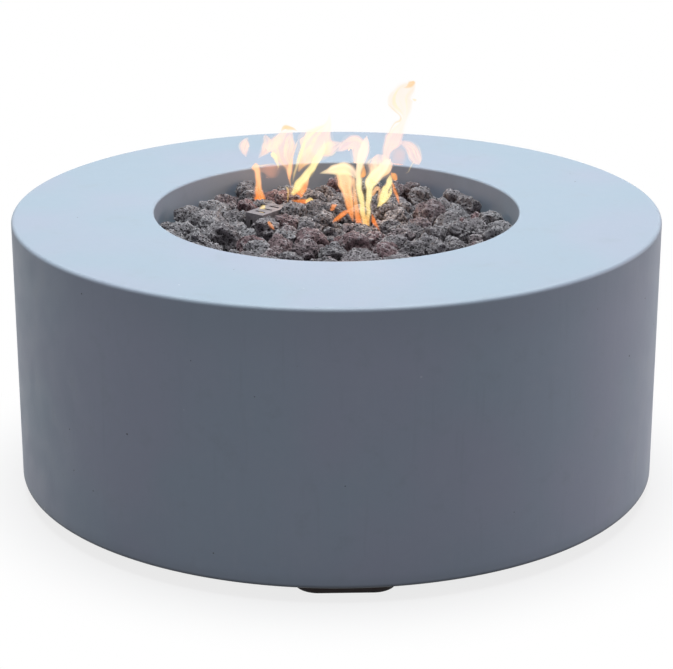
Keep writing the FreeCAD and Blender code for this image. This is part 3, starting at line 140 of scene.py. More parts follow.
class Finish:  # the nodes of one material, or of the world
    def __init__(self, owner):
        owner.use_nodes = True
        self.material = owner
        self.tree = owner.node_tree
        self.surface = self.tree.nodes.get("Principled BSDF")

    def set(self, node, inputs):
        for name, value in inputs.items():
            socket = node.inputs[name]
            if isinstance(value, Signal):
                self.tree.links.new(value.socket, socket)
            elif isinstance(value, tuple) and socket.type == "RGBA" and len(value) == 3:
                socket.default_value = (*value, 1.0)
            else:
                socket.default_value = value

    def node(self, kind, settings=None, inputs=None, output=0):
        made = self.tree.nodes.new(kind)
        for name, value in (settings or {}).items():
            setattr(made, name, value)
        self.set(made, inputs or {})
        return Signal(self, made.outputs[output])

    def ramp(self, stops, share):  # each stop is its place, red, green and blue
        made = self.tree.nodes.new("ShaderNodeValToRGB")
        elements = made.color_ramp.elements
        while len(elements) < len(stops):
            elements.new(1.0)
        for element, (place, *colour) in zip(elements, stops):
            element.position = place
            element.color = (*colour, 1.0)
        self.set(made, {"Fac": share})
        return Signal(self, made.outputs[0])

    def place(self):  # a point on the object, in metres from its origin
        return self.node("ShaderNodeTexCoord", output="Object")

    def parts(self, vector):
        made = self.tree.nodes.new("ShaderNodeSeparateXYZ")
        self.set(made, {0: vector})
        return [Signal(self, socket) for socket in made.outputs]

    def cloud(self, size, detail=3.0, rough=0.5, stretch=None):  # noise, in metres across
        place = self.place()
        if stretch:
            place = self.node("ShaderNodeVectorMath", {"operation": "MULTIPLY"}, {0: place, 1: stretch})
        inputs = {"Vector": place, "Scale": 1.0 / size, "Detail": detail, "Roughness": rough}
        return self.node("ShaderNodeTexNoise", inputs=inputs)

    def cells(self, size, output="Distance"):
        inputs = {"Vector": self.place(), "Scale": 1.0 / size}
        return self.node("ShaderNodeTexVoronoi", inputs=inputs, output=output)

    def coats(self, colour, *layers):  # (share, colour) of each coat, one over another
        for share, over in layers:
            colour = self.node("ShaderNodeMix", {"data_type": "RGBA"}, {0: share, 6: colour, 7: over}, 2)
        return colour

    def value(self, name):  # a number kept with each point of the mesh
        return self.node("ShaderNodeAttribute", {"attribute_name": name}, output="Fac")

    def paint(self, inputs):
        self.set(self.surface, inputs)
        return self

    def cover(self, colour, rough, height, depth):  # with a bump of that height and depth
        bump = self.node("ShaderNodeBump", inputs={"Height": height, "Distance": depth})
        return self.paint({"Base Color": colour, "Roughness": rough, "Normal": bump})

    def end(self, kind, socket):  # what the material ends in, as its Surface or its Volume
        self.set(self.tree.nodes["Material Output"], {kind: socket})
        return self


def newFinish(name, fixed=None):
    made = Finish(bpy.data.materials.new(name))
    return made.paint(fixed or {})


def grey(level):
    return (level, level, level)


# Concrete: sealed, smooth, blue-grey, with soft clouds, a few pinholes and worn edges

concrete = {
    "shade": (0.338, 0.422, 0.502),
    "lilac": (0.362, 0.414, 0.505),
    "chalky": (0.400, 0.470, 0.540),
    # colour of the stains, and of the painted shade on the side
    "stainAndShade": (0.270, 0.330, 0.390),
    # colour of the painted shadow along the base
    "paintedShadow": (0.045, 0.050, 0.055),
    "fleckShade": (0.62, 0.66, 0.70),
    "pinholeShade": (0.06, 0.06, 0.065),
    "specular": 0.38,
    "roughness": 0.50,
    "cloud": 0.20,  # metres across, as are the next sizes
    "blotch": 0.035,
    "grain": 0.0016,
    "waves": 0.010,
    "streak": 0.012,
    "streakStretch": (1.0, 1.0, 0.06),
    "pinhole": (0.026, 0.0013, 0.74),  # grid and size in metres, and the share of cells without one
    "fleck": (0.047, 0.0017, 0.70),
    "side": (0.4300, 0.4318),  # radii
    "arrisRadii": (0.4255, 0.4285),  # of the handled top edge
    "arrisHeights": (0.3700, 0.3725),
    "shoulder": (0.290, 0.368),  # heights over which painted shade darkens the side below its top edge
    "hem": (0.0195, 0.0400),  # heights over which the side grows darker towards its base
    # heights of the painted shadow, a dark line along the foot of the side
    "shadowLine": (0.0200, 0.0250),
    "bump": 0.0006,
}


def concreteFinish():
    made = newFinish("sealedConcrete", {"Specular IOR Level": concrete["specular"]})
    x, y, z = made.parts(made.place())
    cloud = made.cloud(concrete["cloud"], 2.0, 0.45)
    blotch = made.cloud(concrete["blotch"], 4.0, 0.6)
    grain = made.cloud(concrete["grain"], 2.0, 0.7)
    waves = made.cloud(concrete["waves"], 3.0, 0.55)
    streak = made.cloud(concrete["streak"], 3.0, 0.6, concrete["streakStretch"])
    radius = (x * x + y * y) ** 0.5
    onSide = radius.rise(*concrete["side"])
    arris = radius.rise(*concrete["arrisRadii"]) * z.rise(*concrete["arrisHeights"])
    # the side below its top edge, where painted shade darkens it
    shoulder = z.rise(*concrete["shoulder"]) * onSide

    def spots(kind):  # rare small round marks
        grid, size, share = concrete[kind]
        chance = made.parts(made.cells(grid, "Color"))
        wide = size * (0.4 + 0.9 * chance[1])
        return (1.0 - (made.cells(grid) * grid).rise(wide * 0.5, wide)) * chance[0].rise(share, share + 0.02)

    pinhole = spots("pinhole")
    colour = made.coats(
        concrete["shade"],
        (cloud.rise(0.38, 0.66), concrete["lilac"]),
        (blotch.rise(0.52, 0.80) * 0.40, concrete["chalky"]),
        (blotch.rise(0.48, 0.22) * 0.35, concrete["stainAndShade"]),
        (streak.rise(0.56, 0.80) * onSide * 0.22, concrete["chalky"]),
        (streak.rise(0.44, 0.20) * onSide * 0.30, concrete["stainAndShade"]),
        (grain.rise(0.35, 0.75) * 0.16, concrete["chalky"]),
        (arris * blotch.rise(0.35, 0.65) * 0.35, concrete["chalky"]),
        # painted shade: the side darker below its top edge, in blotches
        (shoulder * (0.18 + 0.25 * blotch), concrete["stainAndShade"]),
        ((1.0 - z.rise(*concrete["hem"])) * 0.60, concrete["stainAndShade"]),
        # painted shadow: a dark line along the foot of the side
        ((1.0 - z.rise(*concrete["shadowLine"])) * 0.80, concrete["paintedShadow"]),
        (spots("fleck") * 0.45, concrete["fleckShade"]),
        (pinhole * 0.8, concrete["pinholeShade"]),
    )
    dull = concrete["roughness"] + (blotch - 0.5) * 0.22 + (grain - 0.5) * 0.10
    height = waves * 0.25 + grain * 0.10 - pinhole
    return made.cover(colour, dull.eased(), height, concrete["bump"])


# Lava rock: dark porous clinker, each stone with its own tint

lava = {
    "ash": (0.182, 0.171, 0.182),
    "plum": (0.205, 0.130, 0.138),
    "slate": (0.288, 0.284, 0.300),
    # colour of the painted highlights on the crests
    "dustAndHighlight": (0.680, 0.655, 0.675),
    # colour of the painted shade in the pores and the hollows
    "sootAndShade": (0.012, 0.011, 0.012),
    "specular": 0.35,
    "rough": 0.0045,  # metres across, as are the next sizes
    "speck": 0.0013,
    "pores": 0.0034,
    "finePores": 0.0014,
    "bump": 0.0022,
}


def lavaFinish():
    made = newFinish("porousLava", {"Specular IOR Level": lava["specular"]})
    relief = made.value("relief")
    rough = made.cloud(lava["rough"], 4.0, 0.7)
    speck = made.cloud(lava["speck"], 2.0, 0.8)
    pit = 1.0 - made.cells(lava["pores"]).rise(0.10, 0.52)
    finePit = 1.0 - made.cells(lava["finePores"]).rise(0.12, 0.50)
    colour = made.coats(
        lava["ash"],
        (made.value("tint").rise(0.45, 0.95), lava["plum"]),
        (made.value("tone").rise(0.25, 1.00) * 0.85, lava["slate"]),
        (rough.rise(0.50, 0.78) * 0.35, lava["plum"]),
        # painted highlight: pale specks on the crests
        (relief.rise(0.48, 0.86) * speck.rise(0.35, 0.60) * 0.80, lava["dustAndHighlight"]),
        # painted shade in the pores
        ((pit * 0.75 + finePit * 0.35).eased(), lava["sootAndShade"]),
        # painted shade in the hollows between the crags
        (relief.rise(0.42, 0.05) * 0.70, lava["sootAndShade"]),
    )
    height = rough * 0.8 + speck * 0.35 - pit - finePit * 0.5
    return made.cover(colour, 0.92 - relief * 0.10, height, lava["bump"])


# Metals, plastics and the rest: one recipe for each kind

panLow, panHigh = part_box("burner_pan")
pan = {
    "inner": 0.2125,  # radius inside its wall
    "bend": 0.0045,
    "floor": panLow.z + 0.0015,
    "flange": panHigh.z,
    "sootOver": (0.2836, 0.2840),  # heights of the sheet of its floor
    "sootWithin": (0.2130, 0.2134),  # radii of the sheet of its wall
    "wallTop": (0.3132, 0.3142),
}
fired = {
    "top": (0.303, 0.3105),  # heights of the upper side of the burner's rings
    "scale": (
        (0.20, 0.56, 0.53, 0.49), (0.42, 0.50, 0.36, 0.17), (0.56, 0.26, 0.13, 0.16),
        (0.70, 0.12, 0.15, 0.24), (0.90, 0.10, 0.09, 0.09),
    ),
}
battery = {
    "minusEnd": (0.3547, 0.3549),  # places along Y where the jacket's parts end
    "band": (0.3690, 0.3692),
    "plusEnd": (0.4015, 0.4017),
}


def metalFinish(name, colour, worn, roughness, brushed=None, brushSize=0.0012, tarnish=0.25, bump=0.00003):
    made = newFinish(name, {"Metallic": 1.0})
    lines = made.cloud(brushSize, 3.0, 0.7, brushed)
    smear = made.cloud(0.018, 4.0, 0.6)
    dim, fine = smear.rise(0.45, 0.80) * tarnish, lines.rise(0.35, 0.75) * 0.30
    made.tone = made.coats(colour, (dim, worn), (fine, worn))
    dull = roughness + (lines - 0.5) * 0.20 + (smear - 0.5) * 0.18
    return made.cover(made.tone, dull.eased(), lines, bump)


def burnerFinish():  # stainless tube that the flames have stained straw, plum and blue
    made = metalFinish("firedStainless", (0.56, 0.53, 0.49), (0.32, 0.27, 0.23), 0.38)
    scale = made.ramp(fired["scale"], made.cloud(0.030, 3.0, 0.6))
    top = made.parts(made.place())[2].rise(*fired["top"])
    return made.paint({"Base Color": made.coats(made.tone, (top * 0.8 + 0.1, scale))})


def panFinish():  # deep-drawn sheet, sooted inside, where the rocks and flames have been
    made = metalFinish("panStainless", (0.30, 0.285, 0.27), (0.15, 0.13, 0.12), 0.58, tarnish=0.7)
    x, y, z = made.parts(made.place())
    wall = ((x * x + y * y) ** 0.5).rise(*pan["sootWithin"]) * (1.0 - z.rise(*pan["wallTop"]))
    within = z.rise(*pan["sootOver"]) * (1.0 - wall)
    sootAndShade = made.cloud(0.045, 4.0, 0.65).rise(0.30, 0.62) * within
    colour = made.coats(made.tone, (sootAndShade * 0.85, (0.035, 0.031, 0.030)))
    return made.paint({"Base Color": colour, "Metallic": 1.0 - sootAndShade * 0.7})


def castIron():
    made = newFinish("blackMalleable", {"Metallic": 0.6, "Specular IOR Level": 0.4})
    sand = made.cloud(0.0012, 3.0, 0.75)
    rust = made.cloud(0.012, 3.0, 0.6).rise(0.55, 0.85) * 0.5
    colour = made.coats((0.055, 0.052, 0.050), (rust, (0.14, 0.085, 0.05)))
    return made.cover(colour, 0.62 + (sand - 0.5) * 0.3, sand, 0.0002)


def plasticFinish(name, colour, dusty, roughness, bump=0.00003):
    made = newFinish(name)
    pebble = made.cloud(0.0007, 2.0, 0.6)
    dustAndHighlight = made.cloud(0.012, 4.0, 0.65)
    tone = made.coats(colour, (dustAndHighlight.rise(0.50, 0.82) * 0.45, dusty))
    dull = roughness + (dustAndHighlight - 0.5) * 0.20 + (pebble - 0.5) * 0.10
    return made.cover(tone, dull.eased(), pebble, bump)


def footFinish():  # moulded rubber, brown-black, scuffed, with painted shade low down, next to the floor
    made = newFinish("footRubber", {"Specular IOR Level": 0.35})
    grain = made.cloud(0.0011, 3.0, 0.7)
    scuff = made.cloud(0.009, 4.0, 0.65)
    low = 1.0 - made.parts(made.place())[2].rise(0.0008, 0.0050)
    colour = made.coats(
        (0.030, 0.021, 0.021),
        (scuff.rise(0.45, 0.75) * 0.5, (0.064, 0.050, 0.046)),
        # painted shade: the foot darker at its base
        (low * 0.8, (0.008, 0.007, 0.007)),
    )
    return made.cover(colour, 0.70 + (scuff - 0.5) * 0.3, grain, 0.00012)


def batteryFinish():  # plain jacket in two colours, with bare steel ends
    made = newFinish("batteryJacket")
    y = made.parts(made.place())[1]
    scratch = made.cloud(0.0012, 3.0, 0.7, (1.0, 0.1, 1.0))
    bare = (y.rise(*battery["plusEnd"]) + (1.0 - y.rise(*battery["minusEnd"]))).eased()
    colour = made.coats(
        (0.55, 0.36, 0.10),
        (y.rise(*battery["band"]), (0.035, 0.035, 0.038)),
        (bare, (0.62, 0.61, 0.60)),
        (scratch.rise(0.6, 0.8) * 0.3, (0.5, 0.5, 0.5)),
    )
    return made.paint({"Base Color": colour, "Metallic": bare, "Roughness": 0.30 + (scratch - 0.5) * 0.2})


metals = {  # name, colour, worn colour, roughness, stretch and size of the brushing, tarnish, bump
    "stainless": ("brushedStainless", (0.50, 0.495, 0.485), (0.34, 0.335, 0.325), 0.34, (0.05, 1.0, 1.0)),
    "steel": ("plainSteel", (0.56, 0.56, 0.57), (0.36, 0.35, 0.34), 0.32),
    "zinc": ("zincPlate", (0.58, 0.58, 0.55), (0.42, 0.40, 0.33), 0.42, None, 0.004, 0.6),
    "brass": ("turnedBrass", (0.72, 0.53, 0.25), (0.40, 0.26, 0.11), 0.30, (1.0, 0.3, 0.3), 0.0012, 0.5),
    "die_casting": ("dieCasting", (0.57, 0.58, 0.59), (0.42, 0.43, 0.44), 0.46, None, 0.0022, 0.25, 0.00008),
    "copper": ("bareCopper", (0.72, 0.36, 0.21), (0.36, 0.18, 0.11), 0.34, None, 0.0012, 0.6),
    "thermocouple_steel": ("stainedSteel", (0.42, 0.37, 0.32), (0.19, 0.15, 0.16), 0.40, None, 0.0012, 0.8),
}
plastics = {  # name, colour, dusty colour, roughness, bump
    "hose": ("blackHose", (0.022, 0.022, 0.023), (0.07, 0.07, 0.07), 0.55),
    "knob": ("blackKnob", (0.020, 0.020, 0.021), (0.060, 0.058, 0.056), 0.42, 0.00005),
    "pointer": ("whiteInlay", (0.80, 0.80, 0.77), (0.62, 0.60, 0.55), 0.35),
    "button": ("redButton", (0.42, 0.030, 0.022), (0.50, 0.12, 0.10), 0.28),
    "wire": ("siliconeWire", (0.40, 0.045, 0.030), (0.45, 0.14, 0.11), 0.50),
    "ceramic": ("glazedCeramic", (0.82, 0.79, 0.72), (0.55, 0.46, 0.36), 0.22, 0.00002),
}
finishes = {slot: metalFinish(*numbers) for slot, numbers in metals.items()}
finishes |= {slot: plasticFinish(*numbers) for slot, numbers in plastics.items()}
finishes |= {"concrete": concreteFinish(), "foot_pad": footFinish(), "iron": castIron()}
finishes |= {"cell": batteryFinish(), "lava": lavaFinish()}
stained = metalFinish("flameStained", (0.25, 0.235, 0.255), (0.11, 0.10, 0.11), 0.62, None, 0.003, 0.9)
special = {"burner": burnerFinish(), "burner_pan": panFinish()}
special |= {"ignition_cage": stained, "ignition_bracket": stained}

for name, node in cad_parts.items():
    slots = node.data.materials
    for index, old in enumerate(slots):
        slots[index] = (special.get(name) or finishes[old.name.split(".")[0]]).material
print("finishes given to", len(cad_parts), "CAD nodes")


# Concrete shell: the cast drum again with finer arcs, so that its edges run smooth

shell = {
    "segments": 384,
    "arcSteps": 8,
    "support": 0.0005,  # narrow band beside each round, which keeps the flats flat
    "sharpOver": 35.0,  # degrees
    "profile": (  # radius, height and rounding of each corner, in metres
        (0.432, 0.019, 0.003), (0.432, 0.375, 0.005), (0.244, 0.375, 0.003), (0.244, 0.313, 0.0),
        (0.218, 0.313, 0.003), (0.218, 0.297, 0.0), (0.258, 0.297, 0.0), (0.258, 0.357, 0.010),
        (0.417, 0.357, 0.010), (0.417, 0.059, 0.0), (0.405, 0.047, 0.0), (0.405, 0.019, 0.0),
    ),
    "lug": (  # across, outward and rounding of each corner
        (-0.074, 0.331, 0.029), (-0.074, 0.410, 0.0), (0.074, 0.410, 0.0), (0.074, 0.331, 0.029),
    ),
    "lugTop": 0.047,
    "lugSteps": 6,
    "nicheHeight": 0.190,  # of its centre
    "nicheBlock": (0.200, 0.128, 0.382, 0.4185),  # width, height, front and back
    "nichePocket": (0.176, 0.104, 0.394, 0.460),
    "nicheWindow": (0.148, 0.076, 0.360, 0.460),
    "nicheRound": 0.008,
    "nicheSteps": 4,
    "boreRadius": 0.0051,
    "boreTop": 0.039,
    "boreSide": 0.028,
    "boreReach": 0.373,
    "boreSegments": 24,
}
baseHeight = shell["profile"][0][1]
wellRadius = shell["profile"][2][0]


def outline(corners, steps, support=0.0):  # closed outline with its corners rounded
    points = []
    for index, (across, along, rounding) in enumerate(corners):
        here = Vector((across, along))
        if not rounding:
            points.append(here)
            continue
        back = (Vector(corners[index - 1][:2]) - here).normalized()
        ahead = (Vector(corners[(index + 1) % len(corners)][:2]) - here).normalized()
        half = back.angle(ahead) / 2
        reach = rounding / math.tan(half)
        middle = here + (back + ahead).normalized() * rounding / math.sin(half)
        first = here + back * reach - middle
        last = here + ahead * reach - middle
        if support:
            points.append(middle + first + back * support)
        points += [middle + first.slerp(last, step / steps) * rounding for step in range(steps + 1)]
        if support:
            points.append(middle + last + ahead * support)
    return points


def pieceFrom(name, shape):
    bmesh.ops.recalc_face_normals(shape, faces=shape.faces)
    mesh = bpy.data.meshes.new(name)
    shape.to_mesh(mesh)
    shape.free()
    return placed(name, mesh)


def dressed(piece, slot, *nodes):  # a finished piece of the root body, which stands for these nodes
    piece.data.materials.append(finishes[slot].material)
    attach(piece, "root")
    if nodes:
        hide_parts(*nodes)


def bridge(shape, first, second):  # quads between two rings of points
    for index in range(len(first)):
        after = (index + 1) % len(first)
        shape.faces.new((first[index], first[after], second[after], second[index]))


def turned(name, profile, segments):  # outline of radius and height, turned about Z
    shape = bmesh.new()
    rings = []
    for segment in range(segments):
        angle = 2 * math.pi * segment / segments
        rings.append([shape.verts.new((p.x * math.cos(angle), p.x * math.sin(angle), p.y)) for p in profile])
    for ring, following in zip(rings, rings[1:] + rings[:1]):
        bridge(shape, ring, following)
    return pieceFrom(name, shape)


def block(name, corners, place, low, high):  # outline drawn out from low to high
    shape = bmesh.new()
    ends = [[shape.verts.new(place(point, level)) for point in corners] for level in (low, high)]
    for end in ends:
        shape.faces.new(end)
    bridge(shape, *ends)
    return pieceFrom(name, shape)


def combine(piece, operation, other):
    step = piece.modifiers.new(operation, "BOOLEAN")
    step.operation = operation
    step.solver = "EXACT"
    step.object = other
    bpy.context.view_layer.update()
    result = bpy.data.meshes.new_from_object(piece.evaluated_get(bpy.context.evaluated_depsgraph_get()))
    piece.modifiers.clear()
    piece.data = result
    bpy.data.objects.remove(other)


def quarterTurned(quarter, x, y):  # a point in plan after that many quarter turns
    cos, sin = ((1, 0), (0, 1), (-1, 0), (0, -1))[quarter]
    return x * cos - y * sin, x * sin + y * cos


def addNiche(piece):
    def onBack(point, level):
        return (point.x, level, point.y + shell["nicheHeight"])

    for operation, part in (("UNION", "Block"), ("DIFFERENCE", "Pocket"), ("DIFFERENCE", "Window")):
        width, height, front, back = shell["niche" + part]
        half, rise = width / 2, height / 2
        corners = [(-half, -rise), (half, -rise), (half, rise), (-half, rise)]
        corners = outline([(*corner, shell["nicheRound"]) for corner in corners], shell["nicheSteps"])
        combine(piece, operation, block("niche" + part, corners, onBack, front, back))


def addLugs(piece):
    lug = outline(shell["lug"], shell["lugSteps"])
    for quarter in range(4):
        def inPlace(point, level, quarter=quarter):
            return (*quarterTurned(quarter, *point), level)

        combine(piece, "UNION", block("lug", lug, inPlace, baseHeight, shell["lugTop"]))


def drillBores(piece):
    radius, height, segments = shell["boreRadius"], shell["boreTop"], shell["boreSegments"]
    for quarter in range(4):
        for side in (-1, 1):
            at = quarterTurned(quarter, shell["boreSide"] * side, shell["boreReach"])
            bore = bmesh.new()
            bmesh.ops.create_cone(
                bore, cap_ends=True, segments=segments, radius1=radius, radius2=radius, depth=height,
            )
            bmesh.ops.translate(bore, verts=bore.verts, vec=(*at, height / 2))
            combine(piece, "DIFFERENCE", pieceFrom("bore", bore))


def concreteShell():
    profile = outline(shell["profile"], shell["arcSteps"], shell["support"])
    piece = turned("concreteDrum", profile, shell["segments"])
    addNiche(piece)
    addLugs(piece)
    drillBores(piece)
    piece.data.shade_smooth()
    piece.data.set_sharp_from_angle(angle=math.radians(shell["sharpOver"]))
    piece.data.materials.clear()
    dressed(piece, "concrete", "concrete_shell")
    print("shell cast,", len(piece.data.polygons), "faces")


concreteShell()


# Lava rock fill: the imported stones, each broken into a craggy one, and chips in the gaps

stones = {
    "seed": 7,
    "fineDetail": 5,  # subdivisions of a stone that shows
    "plainDetail": 4,  # and of one that lies under others
    "shownOver": 0.318,  # centre height from which a stone shows, in metres
    "cornerPower": 14.0,  # lower is rounder
    "swell": 1.07,
    "breaks": 9,  # flat faces broken off each stone
    "breakDepth": (0.70, 0.98),
    "cragSize": 0.0130,
    "cragDepth": 0.0042,
    "edgeSize": 0.0060,
    "edgeDepth": 0.0020,
    "poreSize": 0.0050,
    "poreDepth": 0.0024,
    "poreReach": 0.60,  # radius of a pore in cells
    "gritSize": 0.0026,
    "gritDepth": 0.0010,
    "wallRoom": 0.0004,
    "sides": ("FrontLeft", "Front", "FrontRight", "BackRight", "Back", "BackLeft"),
}
chips = {
    "count": 260,
    "tries": 6,  # places tried for each, of which the lowest is taken
    "detail": 3,
    "faces": 10,
    "faceDepth": (0.6, 1.0),
    "cragScale": 0.5,  # size and depth of its crags over those of a stone
    "size": (0.0045, 0.0100),
    "reach": 0.232,
    "sunk": 0.35,
    "highest": 0.357,
    "clear": 0.8,  # share of its size that a chip keeps over the pan's sheet
    "rimCount": 190,  # more along the wall, on the pan's flange
    "rimReach": (0.2210, 0.2380),
    "rimSize": (0.0060, 0.0140),
}


def hashed(cells, salt):  # a repeatable number from 0 to 1 for each cell of a grid
    mixed = cells[..., 0] * 73856093 ^ cells[..., 1] * 19349663 ^ cells[..., 2] * 83492791 ^ salt * 26544357
    mixed = (mixed ^ (mixed >> 13)) * 1274126177
    mixed = (mixed ^ (mixed >> 17)) * 668265263
    return ((mixed >> 8) & 0xFFFF) / 0xFFFF


def gridded(points, size):  # points in units of size, and the cells that they lie in
    scaled = points / size
    return scaled, np.floor(scaled).astype(np.int64)


def swirl(points, size, salt):  # smooth noise from -1 to 1
    scaled, cell = gridded(points, size)
    share = scaled - cell
    share = share * share * (3 - 2 * share)
    total = np.zeros(len(points))
    for corner in np.ndindex(2, 2, 2):
        weight = np.prod(np.where(corner, share, 1 - share), axis=1)
        total += weight * hashed(cell + corner, salt)
    return 2 * total - 1


def ridges(points, size, salt):  # noise with sharp crests, up to 1
    return 1 - 2.6 * np.abs(swirl(points, size, salt))


def nearestSeed(points, size, salt):  # distance to the nearest of a scatter of seeds, in cells
    scaled, cell = gridded(points, size)
    best = np.full(len(points), 9.0)
    for step in np.ndindex(3, 3, 3):
        near = cell + step - 1
        seed = near + np.stack([hashed(near, salt + axis) for axis in range(3)], axis=1)
        best = np.minimum(best, ((scaled - seed) ** 2).sum(axis=1))
    return np.sqrt(best)


def ball(detail):  # directions and triangles of a round ball
    shape = bmesh.new()
    bmesh.ops.create_icosphere(shape, subdivisions=detail, radius=1.0)
    shape.verts.ensure_lookup_table()
    directions = np.array([vertex.co for vertex in shape.verts])
    triangles = [[corner.index for corner in face.verts] for face in shape.faces]
    shape.free()
    return directions, triangles


def packedStones():  # middle and face planes of each stone in the frame
    shape = bmesh.new()
    shape.from_mesh(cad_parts["lava_rocks"].data)
    bmesh.ops.remove_doubles(shape, verts=shape.verts, dist=1e-6)
    waiting = set(shape.verts)
    found = []
    for start in shape.verts:
        if start not in waiting:
            continue
        waiting.discard(start)
        group = [start]
        for vertex in group:
            for edge in vertex.link_edges:
                other = edge.other_vert(vertex)
                if other in waiting:
                    waiting.discard(other)
                    group.append(other)
        middle = np.mean([vertex.co for vertex in group], axis=0)
        planes = {}
        for face in dict.fromkeys(face for vertex in group for face in vertex.link_faces):
            normal = face.normal
            key = tuple(round(part, 2) for part in normal)
            planes[key] = (*normal, abs(normal.dot(face.verts[0].co - Vector(middle))))
        found.append((middle, np.array(sorted(planes.values()))))
    shape.free()
    return sorted(found, key=lambda stone: tuple(stone[0]))


def anyWay(dice, count):  # unit vectors in all directions
    ways = dice.normal(size=(count, 3))
    return ways / np.linalg.norm(ways, axis=1)[:, None]


def reachTo(planes, ways, least):  # from the middle along each way to each plane that it faces
    facing = ways @ planes[:, :3].T
    return np.where(facing > least, planes[:, 3] / np.maximum(facing, least), 1e3)


def broken(planes, dice):  # the stone's own faces, and new ones broken off it
    ways = anyWay(dice, stones["breaks"])
    reach = reachTo(planes, ways, 0.05).min(axis=1)
    depth = dice.uniform(*stones["breakDepth"], size=len(ways))
    return np.vstack([planes, np.column_stack([ways, reach * depth])])


def craggy(middle, planes, directions, salt, scale=1.0):
    power = stones["cornerPower"]
    reach = reachTo(planes, directions, 0.02)
    radius = stones["swell"] * (reach ** -power).sum(axis=1) ** (-1 / power)
    points = middle + directions * radius[:, None]
    crags = ridges(points, stones["cragSize"] * scale, salt)
    edges = ridges(points, stones["edgeSize"] * scale, salt + 1)
    pores = np.clip(1 - nearestSeed(points, stones["poreSize"], salt + 2) / stones["poreReach"], 0, 1) ** 0.8
    grit = swirl(points, stones["gritSize"], salt + 5)
    relief = crags * stones["cragDepth"] * scale * 0.5 + edges * stones["edgeDepth"] * scale * 0.5
    relief += (grit * stones["gritDepth"] * 0.5 - pores * stones["poreDepth"]) * min(1.0, scale * 1.4)
    points = points + directions * relief[:, None]
    level = np.clip(0.55 + crags * 0.16 + edges * 0.12 + 0.12 * grit - 0.5 * pores, 0, 1)
    return points, level


def keptInWell(points):  # no stone reaches into the wall of the well, or the pan's sheet
    room, bend = stones["wallRoom"], pan["bend"]
    floor, flange = pan["floor"] + room, pan["flange"] + room
    points[:, 2] = np.maximum(points[:, 2], floor)
    height = points[:, 2]
    below = np.clip(bend - (height - floor), 0, bend)
    dish = pan["inner"] - room - bend + np.sqrt(bend ** 2 - below ** 2)
    radius = np.hypot(points[:, 0], points[:, 1])
    outside = (height < flange) & (radius > dish)
    lifted = outside & (radius - dish > flange - height)
    points[lifted, 2] = flange
    wall = np.where(outside & ~lifted, dish, wellRadius - room)
    points[:, :2] *= np.minimum(1.0, wall / np.maximum(radius, 1e-9))[:, None]
    return points


def rockPiece(name, group):  # from the (points, triangles, (relief, tint, tone)) of its stones
    piece = meshFrom(name, [(points, triangles) for points, triangles, _ in group])
    for column, label in enumerate(("relief", "tint", "tone")):
        values = [np.resize(shading[column], len(points)) for points, _, shading in group]
        kept = piece.data.attributes.new(label, "FLOAT", "POINT")
        kept.data.foreach_set("value", np.concatenate(values).astype(np.float32))
    dressed(piece, "lava", "lava_rocks")
    print(name, len(group), "stones", len(piece.data.polygons), "faces")


def lavaRocks(packed, dice):
    shapes = {True: ball(stones["fineDetail"]), False: ball(stones["plainDetail"])}
    groups = {side: [] for side in stones["sides"]}
    sector = 360 // len(groups)
    for number, (middle, planes) in enumerate(packed):
        directions, triangles = shapes[bool(middle[2] > stones["shownOver"])]
        points, relief = craggy(middle, broken(planes, dice), directions, 11 * number + 5)
        turn = math.degrees(math.atan2(middle[1], middle[0])) + 180.0
        side = stones["sides"][int(turn // sector) % len(groups)]
        groups[side].append((keptInWell(points), triangles, (relief, *dice.random(2))))
    for side, group in groups.items():
        rockPiece("lavaRocks" + side, group)


def lavaChips(packed, dice):
    middles = np.array([middle for middle, _ in packed])
    sizes = np.array([planes[:, 3].mean() for _, planes in packed])
    directions, triangles = ball(chips["detail"])

    def restingPlace(onRim):  # top of what lies under a place, and the place
        turn = dice.uniform(0, 2 * math.pi)
        reach = dice.uniform(*chips["rimReach"]) if onRim else chips["reach"] * math.sqrt(dice.random())
        across, along = reach * math.cos(turn), reach * math.sin(turn)
        away = (middles[:, 0] - across) ** 2 + (middles[:, 1] - along) ** 2
        within, beyond = np.maximum(sizes ** 2 - away, 0), np.maximum(away - sizes ** 2, 0)
        tops = middles[:, 2] + np.sqrt(within) - 2 * np.sqrt(beyond)
        return tops.max(), across, along

    scattered = []
    for number in range(chips["count"] + chips["rimCount"]):
        onRim = number >= chips["count"]
        height, across, along = min(restingPlace(onRim) for _ in range(chips["tries"]))
        size = dice.uniform(*chips["rimSize" if onRim else "size"])
        ways = np.vstack([anyWay(dice, chips["faces"]), np.eye(3), -np.eye(3)])
        planes = np.column_stack([ways, size * dice.uniform(*chips["faceDepth"], size=len(ways))])
        level = min(height + size * (1 - 2 * chips["sunk"]), chips["highest"] - size)
        onFlange = math.hypot(across, along) + size > pan["inner"]
        level = max(level, pan["flange" if onFlange else "floor"] + chips["clear"] * size)
        middle = np.array([across, along, level])
        points, relief = craggy(middle, planes, directions, 7 * number + 3, chips["cragScale"])
        scattered.append((keptInWell(points), triangles, (relief, *dice.random(2))))
    rockPiece("lavaChips", scattered)


def layStones():
    dice = np.random.default_rng(stones["seed"])
    packed = packedStones()
    lavaRocks(packed, dice)
    lavaChips(packed, dice)


layStones()


# Marks printed on the control panel: the dial's wedge, from high to low, with a short bar beyond
# each of its ends, and a bar at off

dial = {
    "inner": 0.0245,
    "thin": 0.0006,
    "thick": 0.0032,
    "high": 90.0,  # degrees that the valve turns
    "low": 150.0,
    "beyond": 8.0,
    "offLength": 0.0040,
    "offWidth": 0.0014,
    "proud": 0.00008,
    "steps": 24,
}


